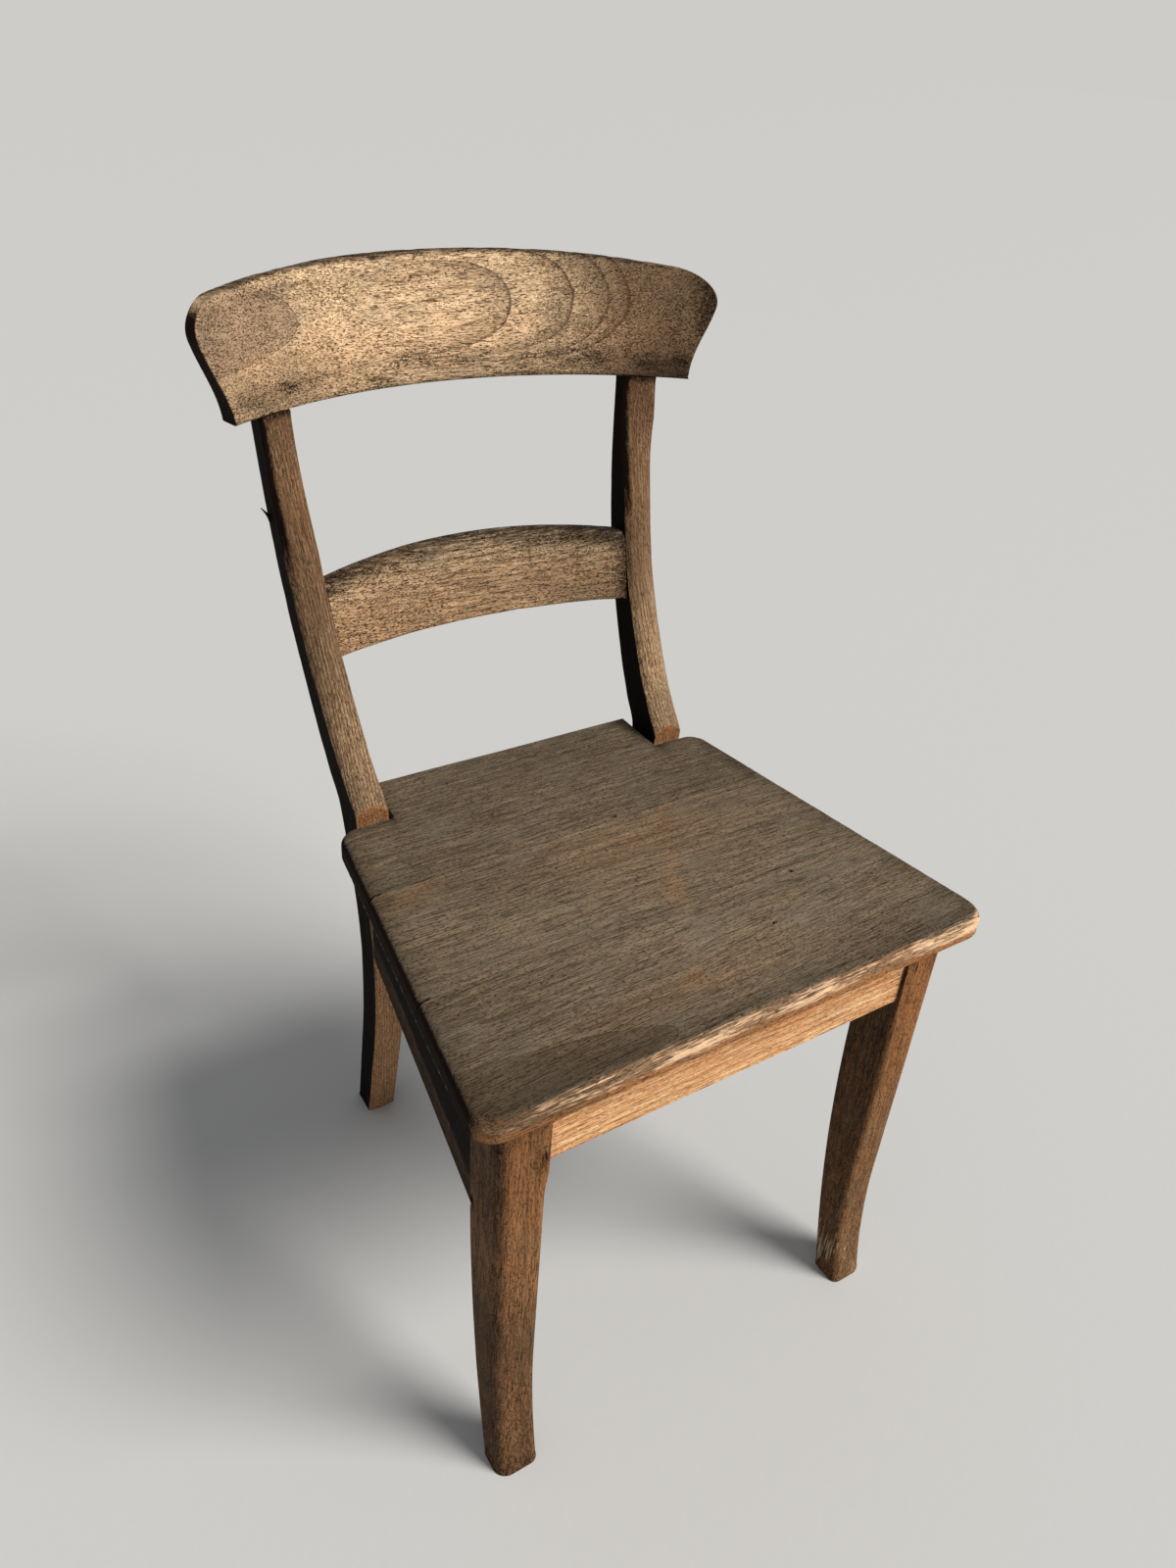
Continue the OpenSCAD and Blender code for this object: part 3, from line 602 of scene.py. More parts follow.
class ChairColours(bpy.types.PropertyGroup):
    """Light and dark grain of each wood."""

    seat_light: grain_colour("Seat, light grain", 142, 122, 98)
    seat_dark: grain_colour("Seat, dark grain", 88, 75, 58)
    leg_light: grain_colour("Front legs, light grain", 160, 118, 79)
    leg_dark: grain_colour("Front legs, dark grain", 92, 65, 42)
    post_light: grain_colour("Back posts, light grain", 244, 204, 158)
    post_dark: grain_colour("Back posts, dark grain", 150, 112, 78)
    rail_light: grain_colour("Back rails, light grain", 252, 216, 172)
    rail_dark: grain_colour("Back rails, dark grain", 160, 124, 88)
    front_apron_light: grain_colour("Front apron, light grain", 255, 214, 158)
    front_apron_dark: grain_colour("Front apron, dark grain", 210, 140, 88)
    side_apron_light: grain_colour("Side aprons, light grain", 112, 82, 52)
    side_apron_dark: grain_colour("Side aprons, dark grain", 74, 50, 30)
    rear_apron_light: grain_colour("Rear apron, light grain", 120, 90, 58)
    rear_apron_dark: grain_colour("Rear apron, dark grain", 78, 54, 34)
    block_light: grain_colour("Corner blocks, light grain", 176, 134, 88)
    block_dark: grain_colour("Corner blocks, dark grain", 124, 90, 56)


class ChairStudio(bpy.types.PropertyGroup):
    """Floor, lamps and camera."""

    floor_colour: FloatVectorProperty(name="Floor", description="Colour of the plain floor", subtype="COLOR",
                                      size=3, default=(0.62, 0.61, 0.59), min=0, max=1)
    sky_strength: FloatProperty(name="Sky", description="Strength of the light from all round", default=0.30)
    key_strength: FloatProperty(name="Key lamp", description="Strength of the main soft lamp", default=3.1)
    lens: FloatProperty(name="Lens", description="Focal length of the camera, in millimetres", default=27.08)


def sizes():
    return bpy.context.scene.chair_sizes


# ---- seat ----

SEAT_MESH_W = 420.0  # width that the mesh spacing divides into columns
EAR_COLUMNS = 26
EAR_FROM = 250.0  # depth from which the rounded rear ears count
HAIR = 0.01
# dark specks on the seat: x, depth, size
SEAT_SPECKS = ((36, 255, 1.6), (126, 121, 1.8), (150, 101, 1.5), (70, 75, 1.4), (-60, 305, 1.3))
BOARD_TILT = {0.0: 0.035, FRONT_JOINT: -0.02, REAR_JOINT: 0.03}  # how far the grain of each board turns


def seat_edge_distances(x, y):
    """Distances from a point on the seat to its left, right, front and rear ear edges."""
    front_left, front_right = SEAT_OFF - SEAT_FRONT_W / 2, SEAT_OFF + SEAT_FRONT_W / 2
    run = SEAT_D - FIT
    left_slope = (-SEAT_REAR_W / 2 - front_left) / run
    right_slope = (SEAT_REAR_W / 2 - front_right) / run
    left = (x - front_left - left_slope * y) / math.hypot(1, left_slope)
    right = (front_right + right_slope * y - x) / math.hypot(1, right_slope)
    return left, right, y, run - y


def seat_side_x(y, side):
    """Where the rounded edge of the seat lies at a depth: side is -1 for left and 1 for right."""
    start = SEAT_OFF + side * SEAT_FRONT_W / 2
    run = SEAT_D - FIT
    slope = (side * SEAT_REAR_W / 2 - start) / run
    x = start + slope * np.minimum(y, run)
    d = np.minimum(y, SEAT_CORNER_R)
    pull = SEAT_CORNER_R - np.sqrt(np.maximum(0, SEAT_CORNER_R ** 2 - (SEAT_CORNER_R - d) ** 2))
    d = np.clip(run - y, 0, EAR_R)
    pull = pull + EAR_R - np.sqrt(np.maximum(0, EAR_R ** 2 - (EAR_R - d) ** 2))
    return x - side * pull * math.hypot(1, slope)


def corner_distance(a, b, r):
    """Distance to an edge that turns a rounded corner between two edges a and b away."""
    inner = r - np.hypot(np.maximum(0, r - a), np.maximum(0, r - b))
    return np.where((a < r) & (b < r), inner, np.minimum(a, b))


def seat_depth(x, y):
    """Distance from the nosed edges of the seat; the rear edges are nosed less."""
    left, right, front, rear = seat_edge_distances(x, y)
    side = np.minimum(left, right)
    d = corner_distance(side, front, SEAT_CORNER_R)
    ear = corner_distance(side, rear, EAR_R)
    by_post = (np.abs(x) > post_inner(UNDER) - FIT - HAIR) & (y > EAR_FROM)
    return np.where(by_post, np.minimum(d, ear), d)


def seat_grid(first, last):
    """Grid of places over one seat board, from one glued joint to the next."""
    gap = sizes().spacing / MM
    behind_posts = last > SEAT_D
    curl = NOSING_TOP_R * (1 - np.cos(np.linspace(0, np.pi / 2, 9)))
    rows = list(curl) if first == 0 else [first]
    end = min(last, SEAT_D - FIT)
    body = np.linspace(rows[-1], end, int((end - rows[-1]) / gap) + 1)[1:]
    if behind_posts:
        body = body[body < end - EAR_R]
        ear = end - EAR_R + EAR_R * np.sin(np.linspace(0.04, np.pi / 2, 14))
        tongue = np.linspace(end, last, int((last - end) / gap) + 1)[1:]
        body = np.concatenate([body, ear, tongue])
    rows = np.concatenate([rows, body])
    wide = curl / NOSING_TOP_R
    y = rows[:, None]
    left, right = seat_side_x(rows, -1)[:, None], seat_side_x(rows, 1)[:, None]
    if behind_posts:
        notch = post_inner(UNDER) - FIT
        across = np.linspace(0, 1, EAR_COLUMNS + 1)[None, 1:]
        lip = np.minimum(NOSING_TOP_R, np.maximum(0.5, -notch - left) * 0.5)
        inner = left + lip + (-notch - left - lip) * across
        left_cols = np.concatenate([left + lip * wide[None, :], inner], 1)
        mid = np.linspace(-notch, notch, int(2 * notch / gap) + 1)[None, 1:]
        mid = np.broadcast_to(mid, (len(rows), mid.shape[1]))
        lip = np.minimum(NOSING_TOP_R, np.maximum(0.5, right - notch) * 0.5)
        inner = notch + (right - lip - notch) * across
        right_cols = np.concatenate([inner, right - lip * wide[None, ::-1][:, 1:]], 1)
        x = np.concatenate([left_cols, mid, right_cols], 1)
        cells = np.ones((len(rows) - 1, x.shape[1] - 1), bool)
        side = left_cols.shape[1] - 1
        behind = rows[:-1] >= end - 1e-6
        cells[behind, :side] = False
        cells[behind, -side:] = False
    else:
        lip = np.minimum(NOSING_TOP_R, (right - left) / 4)
        across = np.linspace(0, 1, int(SEAT_MESH_W / gap) + 1)[None, 1:-1]
        mid = left + lip + (right - left - 2 * lip) * across
        x = np.concatenate([left + lip * wide[None, :], mid, right - lip * wide[None, ::-1]], 1)
        cells = None
    y = np.broadcast_to(y, x.shape)
    front_slope = BOARD_SKEW if first > 0 else 0.0
    rear_slope = BOARD_SKEW if last < SEAT_D else 0.0
    share = np.clip((y - first) / (min(last, end) - first), 0, 1)
    y = y + x * (front_slope * (1 - share) + rear_slope * share)
    return x, y, cells


def seat_board(name, node, first, last, seed):
    x, y, cells = seat_grid(first, last)
    d = seat_depth(x, y)
    rear = SEAT_D - FIT - y
    on_ear = (np.abs(x) > post_inner(UNDER)) & (rear < EAR_R)
    d = np.where(on_ear, np.minimum(d, np.maximum(rear, 0) / 0.35), d)
    d = np.maximum(d, 0)
    flat = np.stack([x, y], -1)
    top = SEAT_H - edge_pull(d, NOSING_TOP_R)
    low = UNDER + edge_pull(d, NOSING_LOW_R)
    face = np.concatenate([flat, top[..., None]], -1)
    back = np.concatenate([flat, low[..., None]], -1)
    piece = slab(name, face, back, cells, wall=6)
    p = piece.points
    at_post = (np.abs(np.abs(p[:, 0]) - post_inner(UNDER) + FIT) < HAIR) & (p[:, 1] > SEAT_D - FIT - HAIR)
    p[:, 0] += np.sign(p[:, 0]) * at_post * POST_SPLAY * (p[:, 2] - UNDER)
    d = np.maximum(0, seat_depth(p[:, 0], p[:, 1]))
    near = 1 - step(3, 15, d)
    front = near * (1 - step(8, 26, p[:, 1]))
    upper = step(UNDER + 4, SEAT_H - 3, p[:, 2])
    wobble = noise(p, (60, 40, 40), seed)
    chips = np.maximum(0, noise(p, (22, 5, 4), seed + 3, 3) - 0.05)
    wear = sizes().nosing_wear / MM
    run = p[:, 1] - BOARD_SKEW * p[:, 0]
    joint_gap = np.minimum(np.abs(run - first), np.abs(run - last))
    groove = np.where((first > 0) | (last < SEAT_D), hump(joint_gap, 0, 1.0), 0) * (p[:, 2] > SEAT_H - 4)
    if first == 0:
        groove = groove * step(40, 80, p[:, 1])
    piece.push((-0.18 - 0.18 * wobble * step(0, 12, d) - wear * front * (0.25 + 2.0 * chips)
               - 0.45 * wear * near * chips - 0.22 * groove) * ~at_post)
    piece.points[:, 2] = np.maximum(piece.points[:, 2], UNDER)
    paint_seat(piece, first, last, seed, d, near, front, upper)
    piece.finish(seat_wood(), "seat_wood", node)


def paint_seat(piece, first, last, seed, d, near, front, upper):
    """Wood coordinates, weather, and painted light and shade of a seat board."""
    x, y, z = piece.points.T
    up = piece.normals[:, 2]
    on_top = up > 0.8
    warp = noise(piece.points, (170, 60, 60), seed + 5, 3)
    fine = noise(piece.points, (60, 22, 22), seed + 7, 2)
    turned = y - BOARD_TILT[first] * x
    tone = 0.12 * noise(piece.points, (90, 26, 26), seed + 11, 2)
    tone = tone + 0.10 * noise(piece.points, (150, 90, 90), seed + 13, 1)
    tone = tone - 0.10 * (1 - step(10, 60, y)) * (up > 0.5) - 0.28 * (1 - step(2, 30, d)) * on_top
    tone = tone + 0.14 * hump(x, 10, 130) * hump(y, 130, 80) * on_top
    tone = tone + 0.42 * front * (1 - step(0.1, 0.75, up)) * (1 - step(UNDER + 14, UNDER + 19, z))
    worn_right = step(-215, -130, x)
    tone = tone + 0.34 * front * step(UNDER + 11, UNDER + 16, z) * (1 - step(0.90, 0.99, up)) * worn_right
    # the rounded left edge is darker wood, deepened with painted shade where it turns away from the light
    left_edge_shade = step(0, 0.3, near) * (1 - step(-190, -150, x)) * (1 - step(0.55, 0.97, up))
    dirt = strongest(
        left_edge_shade * step(6, 24, y),
        # painted shade on the underside and on the lower half of the right edge, which face downwards
        0.55 * (up < -0.5),
        0.5 * near * (1 - upper) * (1 - front) * (x > 0) * (up < 0.3),
        *(0.9 * hump(x, sx, r * 1.4) * hump(y, sy, r) for sx, sy, r in SEAT_SPECKS))
    warm = strongest(
        front * (1 - step(UNDER + 8, UNDER + 16, z)) * 0.8,
        0.34 * front * (1 - step(0.85, 0.97, up)))
    nosing = front * step(UNDER + 6, UNDER + 11, z) * (1 - step(0.86, 0.985, up))
    nosing = nosing * (0.42 + 0.12 * step(-60, 120, x) + 0.6 * fine)
    bare = strongest(
        nosing * (1 - 0.8 * (1 - step(-232, -150, x))),
        0.5 * near * (x > 150) * step(0.1, 0.5, up) * (1 - step(0.8, 0.97, up)),
        # a painted highlight, in the bare colour, along the arris under the left nosing
        0.45 * near * (x < -150) * hump(z, UNDER + 2.0, 2.5) * step(20, 60, y))
    edge = FAR_FROM_TONGUE
    if first == 0:
        # a cathedral tongue that reaches in from the left at the front edge, two stains and two pale lines
        edge = (x + 68) + ((y - 16) / 3) ** 2 + 3 * fine + 40 * (1 - step(4, 9, y))
        stain = hump(x, -23 + 3 * fine, 17) * hump(y, 53, 8)
        warm = strongest(warm, 0.26 * step(0.25, 0.7, stain),
                         0.12 * hump(x, -20, 110) * hump(y, 44, 16) * on_top)
        tone = tone + 0.28 * hump(y, 44 - 0.07 * x, 1.5) * step(-95, -70, x) * (1 - step(60, 90, x))
        tone = tone + 0.35 * hump(x, -152 + (y - 40) * -0.2, 1.4) * hump(y, 40, 10)
    if first == FRONT_JOINT:
        # golden patch beside the joint, a diagonal stain and two pale lines of grain
        centre = 80 - (245 - y) * 0.56 + 5 * fine
        warm = strongest(warm, 0.22 * hump(x, -172, 34) * hump(y, 236, 14),
                         0.20 * hump(x, centre, 10) * step(110, 140, y),
                         0.16 * hump(x, 35, 85) * hump(y, 215, 40))
        tone = tone + 0.30 * hump(y, last - 2.0 + BOARD_SKEW * x, 2.0) * (1 - step(20, 90, x))
        pale = 224 + 0.078 * (x + 17)
        tone = tone + 0.32 * hump(y, pale, 1.4) * step(-115, -90, x) * (1 - step(55, 80, x))
    if first == REAR_JOINT:
        # darker behind, and painted shade round the posts where they meet the seat
        tone = tone - 0.10 - 0.35 * hump(np.abs(x), post_inner(UNDER), 10) * hump(y, SEAT_D + 8, 30)
    grain = (x + seed * 90.0, turned + 2.5 * warp + seed * 37.0, z)
    field = (turned + 13 * warp + 3 * fine) / 9.0 + (SEAT_H - z) / 4.5
    piece.paint(grain, field, tone, dirt, bare, warm, edge)


def seat_wood():
    return finish_once(
        "worn_shaded_seat_wood", "seat", ring=(44, 33, 22), warm=(160, 104, 58),
        grey=(116, 106, 90), bare=(206, 168, 132), dirt=(26, 15, 7), rings=0.34, pores=0.85, specks=0.45,
        patches=0.45, lobe=(74, 57, 40))


# ---- front legs ----


def leg_front(z):
    start = 0.33 * UNDER
    return LEG_SETBACK - np.where(z < start, FRONT_SWEEP * (1 - np.minimum(z, start) / start) ** 2, 0)


def leg_rear(z):
    start = 0.75 * UNDER
    gain = LEG_D - FOOT_D + FRONT_SWEEP
    return LEG_SETBACK + LEG_D - np.where(z < start, gain * (1 - np.minimum(z, start) / start) ** 2, 0)


def leg_width(z):
    return FOOT_W + (LEG_W - FOOT_W) * z / UNDER


def leg_outer(z):
    return LEG_SPREAD / 2 - (LEG_W - leg_width(z)) / 2


def leg_inner(z):
    return leg_outer(z) - leg_width(z)


def levels(low, high, gap, *fine):
    """Heights at a spacing, closer together round each (height, reach)."""
    z = list(np.linspace(low, high, int((high - low) / gap) + 1))
    for at, reach in fine:
        z = [v for v in z if abs(v - at) > reach]
        z += list(np.linspace(at - reach, at + reach, int(reach * 4) + 1))
    return np.array(sorted(z))


PIN_HEIGHTS = (APRON_Z + APRON_H * 0.36, APRON_Z + APRON_H * 0.72)
LEG_FLAT = 26.5  # width of the flat of a leg's front face
# columns across that flat as shares of it, crowded round the pin holes
LEG_FRONT_COLUMNS = np.array([
    0.4, 1.0, 1.7, 2.3, 2.8, 3.2, 3.6, 4.0, 4.4, 4.8, 5.2, 5.6, 6.1, 6.7, 7.5, 9, 11, 13, 15, 17, 19.5, 22,
    24.5]) / LEG_FLAT
NOTCH_Z = 308.0  # height of the chipped notch on the left leg


def front_leg(name, node, mirror, seed):
    gap = sizes().spacing / MM
    z = levels(0.0, UNDER - FIT, gap, *[(h, 3.0) for h in PIN_HEIGHTS])
    z = np.sort(np.concatenate([z, [0.35, 0.8, 1.3]]))
    x0, x1, y0, y1 = leg_inner(z), leg_outer(z), leg_front(z), leg_rear(z)
    t = np.clip((UNDER - APRON_H - z) / 40, 0, 1)
    g = 1.5 + (LEG_FRONT_R - 1.5) * t * t * (3 - 2 * t)
    f, r = LEG_OUTER_R, LEG_REAR_R
    rings = outline(z, [(x0 + g, y0 + g, g, 180, 270, 7), (x1 - f, y0 + f, f, 270, 360, 14),
                        (x1 - r, y1 - r, r, 0, 90, 4), (x0 + r, y1 - r, r, 90, 180, 4)],
                    [LEG_FRONT_COLUMNS, even(11), even(15), even(14)])
    shrink = 1 - 0.05 * (1 - np.clip(z / 1.3, 0, 1)) ** 2
    mid = np.stack([(x0 + x1) / 2, (y0 + y1) / 2, 0 * z], -1)[:, None, :]
    rings = mid + (rings - mid) * np.stack([shrink, shrink, np.ones_like(z)], -1)[:, None, :]
    piece = stack(name, rings)
    p, n = piece.points, piece.normals
    wear = sizes().leg_wear / MM
    rough = noise(p, (26, 26, 90), seed, 2)
    scuff = np.maximum(0, noise(p, (9, 9, 16), seed + 4, 3)) * (0.4 + 1.6 * (1 - step(8, 45, p[:, 2])))
    hole = np.zeros(len(p))
    px = leg_inner(UNDER) + 6
    for h in PIN_HEIGHTS:
        reach = np.hypot(p[:, 0] - px, p[:, 2] - h)
        hole = np.maximum(hole, (1 - step(0.9, 1.6, reach)) * (n[:, 1] < -0.8))
    notch = np.zeros(len(p))
    if mirror:
        notch = (hump(p[:, 2], NOTCH_Z, 5) * hump(p[:, 0], leg_outer(NOTCH_Z), 6)
                 * hump(p[:, 1], leg_rear(NOTCH_Z), 7))
    body = step(0.2, 6, p[:, 2]) * step(0.2, 5, UNDER - p[:, 2])
    piece.push((-0.15 - wear * (0.5 + 0.5 * rough + 0.9 * scuff)) * body - 1.5 * hole - 2.2 * notch)
    piece.points[:, 2] = np.clip(piece.points[:, 2], 0, UNDER - FIT)
    paint_leg(piece, mirror, seed, n, hole, notch, px)
    piece.finish(leg_wood(), "leg_wood", node, mirror=mirror)


def paint_leg(piece, mirror, seed, n, hole, notch, px):
    """Wood coordinates, weather and painted shade of a front leg; mirror is true for the left one, flipped
    when placed.
    """
    x, y, z = piece.points.T
    warp = noise(piece.points, (30, 30, 170), seed + 6, 2)
    fine = noise(piece.points, (14, 14, 40), seed + 7, 2)
    # nested arches low on the front face, straight grain above
    middle = leg_inner(z) + leg_width(z) * 0.52
    arch = z / 34 + ((x - middle) / 8.5) ** 2 * 0.55
    straight = (x + 0.6 * y) / 6.0 + 1.2 * warp
    low = (1 - step(120, 210, z)) * (n[:, 1] < 0.2)
    away = n[:, 0] if not mirror else -n[:, 0]  # +1 on the face that looks to the right of the chair
    side_left = step(0.25, 1.0, -away)
    side_right = step(0.55, 0.95, away)
    back = step(0.5, 0.95, n[:, 1])
    ahead = n[:, 1] < -0.6
    top = top_of(z)
    tone = 0.08 * noise(piece.points, (18, 18, 60), seed + 9, 2)
    # painted shade: faces turned to the left, to the right and to the back are darker than the front, the
    # left ones most; the warm tint is kept off the left and back faces
    tone = tone - 0.10 * mirror * top - (0.34 if mirror else 0.46) * side_left
    tone = tone - 0.14 * side_right - 0.3 * back - (0.20 if mirror else -0.10) * (1 - step(160, 330, z))
    warm = (0.42 if mirror else 0.62) * top * (1 - side_left) * (1 - back) + 0.20 * (1 - top) * (0.5 + fine)
    # painted shade along the rounded corner where the left leg turns left, and on the left-facing side of the
    # right leg
    left_shade = 0.34 * hump(-away, 0.75, 0.4) * (1 - 0.3 * (1 - top)) if mirror else 0.22 * side_left
    dirt = strongest(
        left_shade,
        0.3 * back,
        (0.30 if mirror else 0.05) * (1 - step(0, 26, z + 9 * fine)),
        hole,
        notch,
        0.35 * hump(z, 375, 18) * hump(x, px + 3, 8) * (n[:, 1] < -0.5))
    if mirror:
        # a short split and its spot near the top of the left leg
        dirt = strongest(dirt, 0.9 * hump(x, px - 1.5 + (z - 381) * 0.12, 1.0) * hump(z, 381, 7) * ahead,
                         0.8 * hump(x, 206, 2.2) * hump(z, 399, 2.6) * (n[:, 1] < 0.2))
        tone = tone + 0.24 * hump(z, 265, 60)
    else:
        dirt = strongest(dirt, 0.85 * hump(x, 177.5 + (z - 409) * -0.10, 0.9) * hump(z, 405, 9) * ahead)
    bare = strongest((0.22 if mirror else 0.5) * (0.4 + fine) * (1 - step(20, 110, z)))
    bare = bare + 0.20 * hump(z, 385, 2.5) * hump(x, 188, 5) * (n[:, 1] < -0.5) * mirror
    grain = (z + seed * 71, x + 1.6 * warp + seed * 23, y)
    field = straight * (1 - low) + arch * low + 0.25 * fine
    piece.paint(grain, field, tone, dirt, bare, warm)


def top_of(z):
    """1 near the top of a front leg, 0 low down."""
    return step(150, 400, z)


def leg_wood():
    return finish_once(
        "worn_shaded_leg_wood", "leg", ring=(52, 32, 18), warm=(180, 116, 64),
        grey=(118, 96, 72), bare=(206, 184, 152), dirt=(34, 18, 7), rings=0.45, pores=0.9, specks=0.8,
        patches=0.38)


# ---- back posts ----


def post_outer(z):
    return POST_SPREAD / 2 + POST_SPLAY * (z - SEAT_H)


def post_inner(z):
    return post_outer(z) - POST_W


def post_front(z):
    return curve_at(POST_FRONT, z)


def post_rear(z):
    return post_front(z) + curve_at(POST_DEPTH, z)


def crown(z):
    share = np.clip((z - SEAT_H + 30) / 30, 0, 1)
    return REAR_LEG_CROWN + (POST_CROWN - REAR_LEG_CROWN) * share


def back_post(name, node, mirror, seed):
    gap = sizes().spacing / MM
    top = CREST_Z - FIT
    z = levels(0.0, top, gap)
    z = z[(np.abs(z - UNDER + 1) > 0.9) & (np.abs(z - SEAT_H - TOE_H) > 0.9)]
    z = np.sort(np.concatenate([z, [0.4, 1.0, UNDER - 1.2, UNDER - 1, SEAT_H + TOE_H, SEAT_H + TOE_H + 0.2]]))
    x0, x1, y0, y1 = post_inner(z), post_outer(z), post_front(z), post_rear(z)
    r = POST_REAR_R
    s = np.sin(np.linspace(-1, 1, 33) * np.pi / 2 * 0.98) / math.sin(np.pi / 2 * 0.98)
    across = (x0 + (x1 - x0) / 2)[:, None] + (x1 - x0)[:, None] / 2 * s[None]
    under_crest = step(CREST_Z - 34, CREST_Z, z)
    bulge = crown(z) * (1 - 0.85 * under_crest)
    deep = y0[:, None] + 1.5 * under_crest[:, None] - bulge[:, None] * (1 - s[None] ** 2)
    bow_radius, bow_front = crest_front()
    rail_front = bow_front - bow_radius + np.sqrt(bow_radius ** 2 - across ** 2) + 0.5
    planed = step(CREST_Z - 115, CREST_Z + 8, z)[:, None]
    deep = deep + planed * np.maximum(0, rail_front - deep)
    cut = (z >= UNDER - 1.01) & (z <= SEAT_H + TOE_H + 0.01)
    deep = np.where(cut[:, None], np.maximum(deep, SEAT_D), deep)
    front = np.stack([across, deep], -1)
    corners = [(x1 - r, y1 - r, r, 0, 90, 4), (x0 + r, y1 - r, r, 90, 180, 4)]
    rest = outline(z, corners, [even(11), []])[..., :2]
    right = front[:, -1:] + (rest[:, :1] - front[:, -1:]) * even(13)[None, :, None]
    left = rest[:, -1:] + (front[:, :1] - rest[:, -1:]) * even(13)[None, :, None]
    flat = np.concatenate([front, right, rest, left], 1)
    height = np.broadcast_to(z[:, None, None], flat.shape[:2] + (1,))
    rings = np.concatenate([flat, height], -1)
    piece = stack(name, rings)
    p, n = piece.points, piece.normals
    wear = sizes().leg_wear / MM
    rough = noise(p, (26, 26, 110), seed, 2)
    dents = np.maximum(0, noise(p, (10, 10, 22), seed + 4, 3))
    body = step(0.2, 6, p[:, 2]) * step(0.2, 5, top - p[:, 2])
    held = 1 - step(20, 40, np.abs(p[:, 2] - SEAT_H))
    piece.push((-0.12 - wear * (0.5 + 0.5 * rough + 0.8 * dents) * (1 - held)) * body)
    piece.points[:, 2] = np.clip(piece.points[:, 2], 0, top)
    paint_post(piece, mirror, seed, n)
    piece.finish(post_wood(), "back_wood", node, mirror=mirror)


def paint_post(piece, mirror, seed, n):
    """Wood coordinates, weather and painted shade of a back post; mirror is true for the left one, flipped
    when placed.
    """
    x, y, z = piece.points.T
    warp = noise(piece.points, (40, 40, 180), seed + 6, 2)
    fine = noise(piece.points, (14, 14, 40), seed + 7, 2)
    chord = SEAT_D + np.where(z > SEAT_H, 0.40 * (z - SEAT_H), -0.12 * (z - SEAT_H))
    away = n[:, 0] if not mirror else -n[:, 0]  # +1 on the face that looks to the right of the chair
    side_left, side_right = step(0.72, 0.95, -away), step(0.72, 0.95, away)
    side = np.maximum(side_left, side_right)
    back = step(0.5, 0.95, n[:, 1])
    above = step(SEAT_H - 20, SEAT_H + 10, z)
    # the back faces are painted darker in tone, as shade
    tone = 0.08 * noise(piece.points, (18, 18, 70), seed + 9, 2) - 0.54 - 0.12 * back
    tone = tone + (0.34 if not mirror else 0.18) * hump(z, SEAT_H + 55, 60) * (1 - side)
    # the left faces are painted darker still, as shade
    tone = tone + 0.50 * (1 - above) * (1 - side) - 0.2 * side_left
    if not mirror:
        tone = tone + 0.14 * hump(z, SEAT_H + 170, 80) * (1 - side)
    from_left = post_outer(z) - x if mirror else x - post_inner(z)
    # the left faces are darker wood deepened with painted shade; painted shade also lies on the left strip of
    # the front high up, on the faces turning left above the seat, and more lightly on the right, back and
    # lower side faces
    dirt = strongest(
        0.95 * side_left + 0.45 * side_right * above + 0.30 * back,
        0.85 * (1 - step(2.5, 9, from_left + fine)) * step(SEAT_H + 150, SEAT_H + 240, z),
        0.35 * side * (1 - above),
        0.55 * above * step(0.3, 0.8, -away),
        0.5 * step(CREST_Z - 9, CREST_Z - 1, z))
    warm = 0.46 * (1 - side) * step(SEAT_H + 40, SEAT_H + 250, z) + 0.45 * (1 - above) * (1 - side)
    # the flat toe on the seat shows raw orange wood
    toe = (np.abs(y - SEAT_D) < 0.9) & (z > SEAT_H - 1) & (z < SEAT_H + TOE_H + 1) & (n[:, 1] < -0.7)
    warm = np.where(toe, 0.80 + 0.3 * fine, warm)
    dirt = np.where(toe, 0.14 * (1 + fine), dirt)
    tone = np.where(toe, -0.10 + 0.2 * fine, tone)
    bare = 0.18 * np.maximum(0, fine) * hump(z, SEAT_H + 70, 60) * (n[:, 1] < -0.2)
    grain = (z + seed * 71, x + 1.5 * warp + seed * 23, y - chord)
    field = (0.25 * (y - chord) + (x - post_inner(z))) / 3.0 + 0.8 * warp + 0.15 * fine
    piece.paint(grain, field, tone, dirt, bare, warm)


def post_wood():
    return finish_once(
        "worn_shaded_post_wood", "post", ring=(62, 40, 24), warm=(172, 114, 70),
        grey=(146, 124, 98), bare=(226, 208, 180), dirt=(30, 16, 6), rings=0.95, pores=0.7, specks=0.55,
        patches=0.42)


def back_wood():
    return finish_once(
        "worn_shaded_back_wood", "rail", ring=(58, 38, 22), warm=(178, 120, 74),
        grey=(150, 134, 108), bare=(226, 208, 180), dirt=(30, 16, 6), rings=0.66, pores=1.0, specks=1.0,
        patches=0.42, lobe=(122, 96, 80))


# ---- crest rail ----

CREST_MESH_W = 480.0  # length that the mesh spacing divides into columns
ARCH_TIPS = np.array([-600, 64, 121, 151, 168])  # where the nested arches of the grain end
TONGUE_H = 59.5  # height of the darker tongue's middle


def crest_front():
    radius = ((CREST_LOW_W / 2) ** 2 + CREST_BOW ** 2) / (2 * CREST_BOW)
    tenon_x = (post_inner(CREST_Z) + post_outer(CREST_Z)) / 2
    return radius, SEAT_D + BACK_LEAN + CREST_SET + arc_drop(tenon_x, CREST_LOW_W / 2, CREST_BOW)


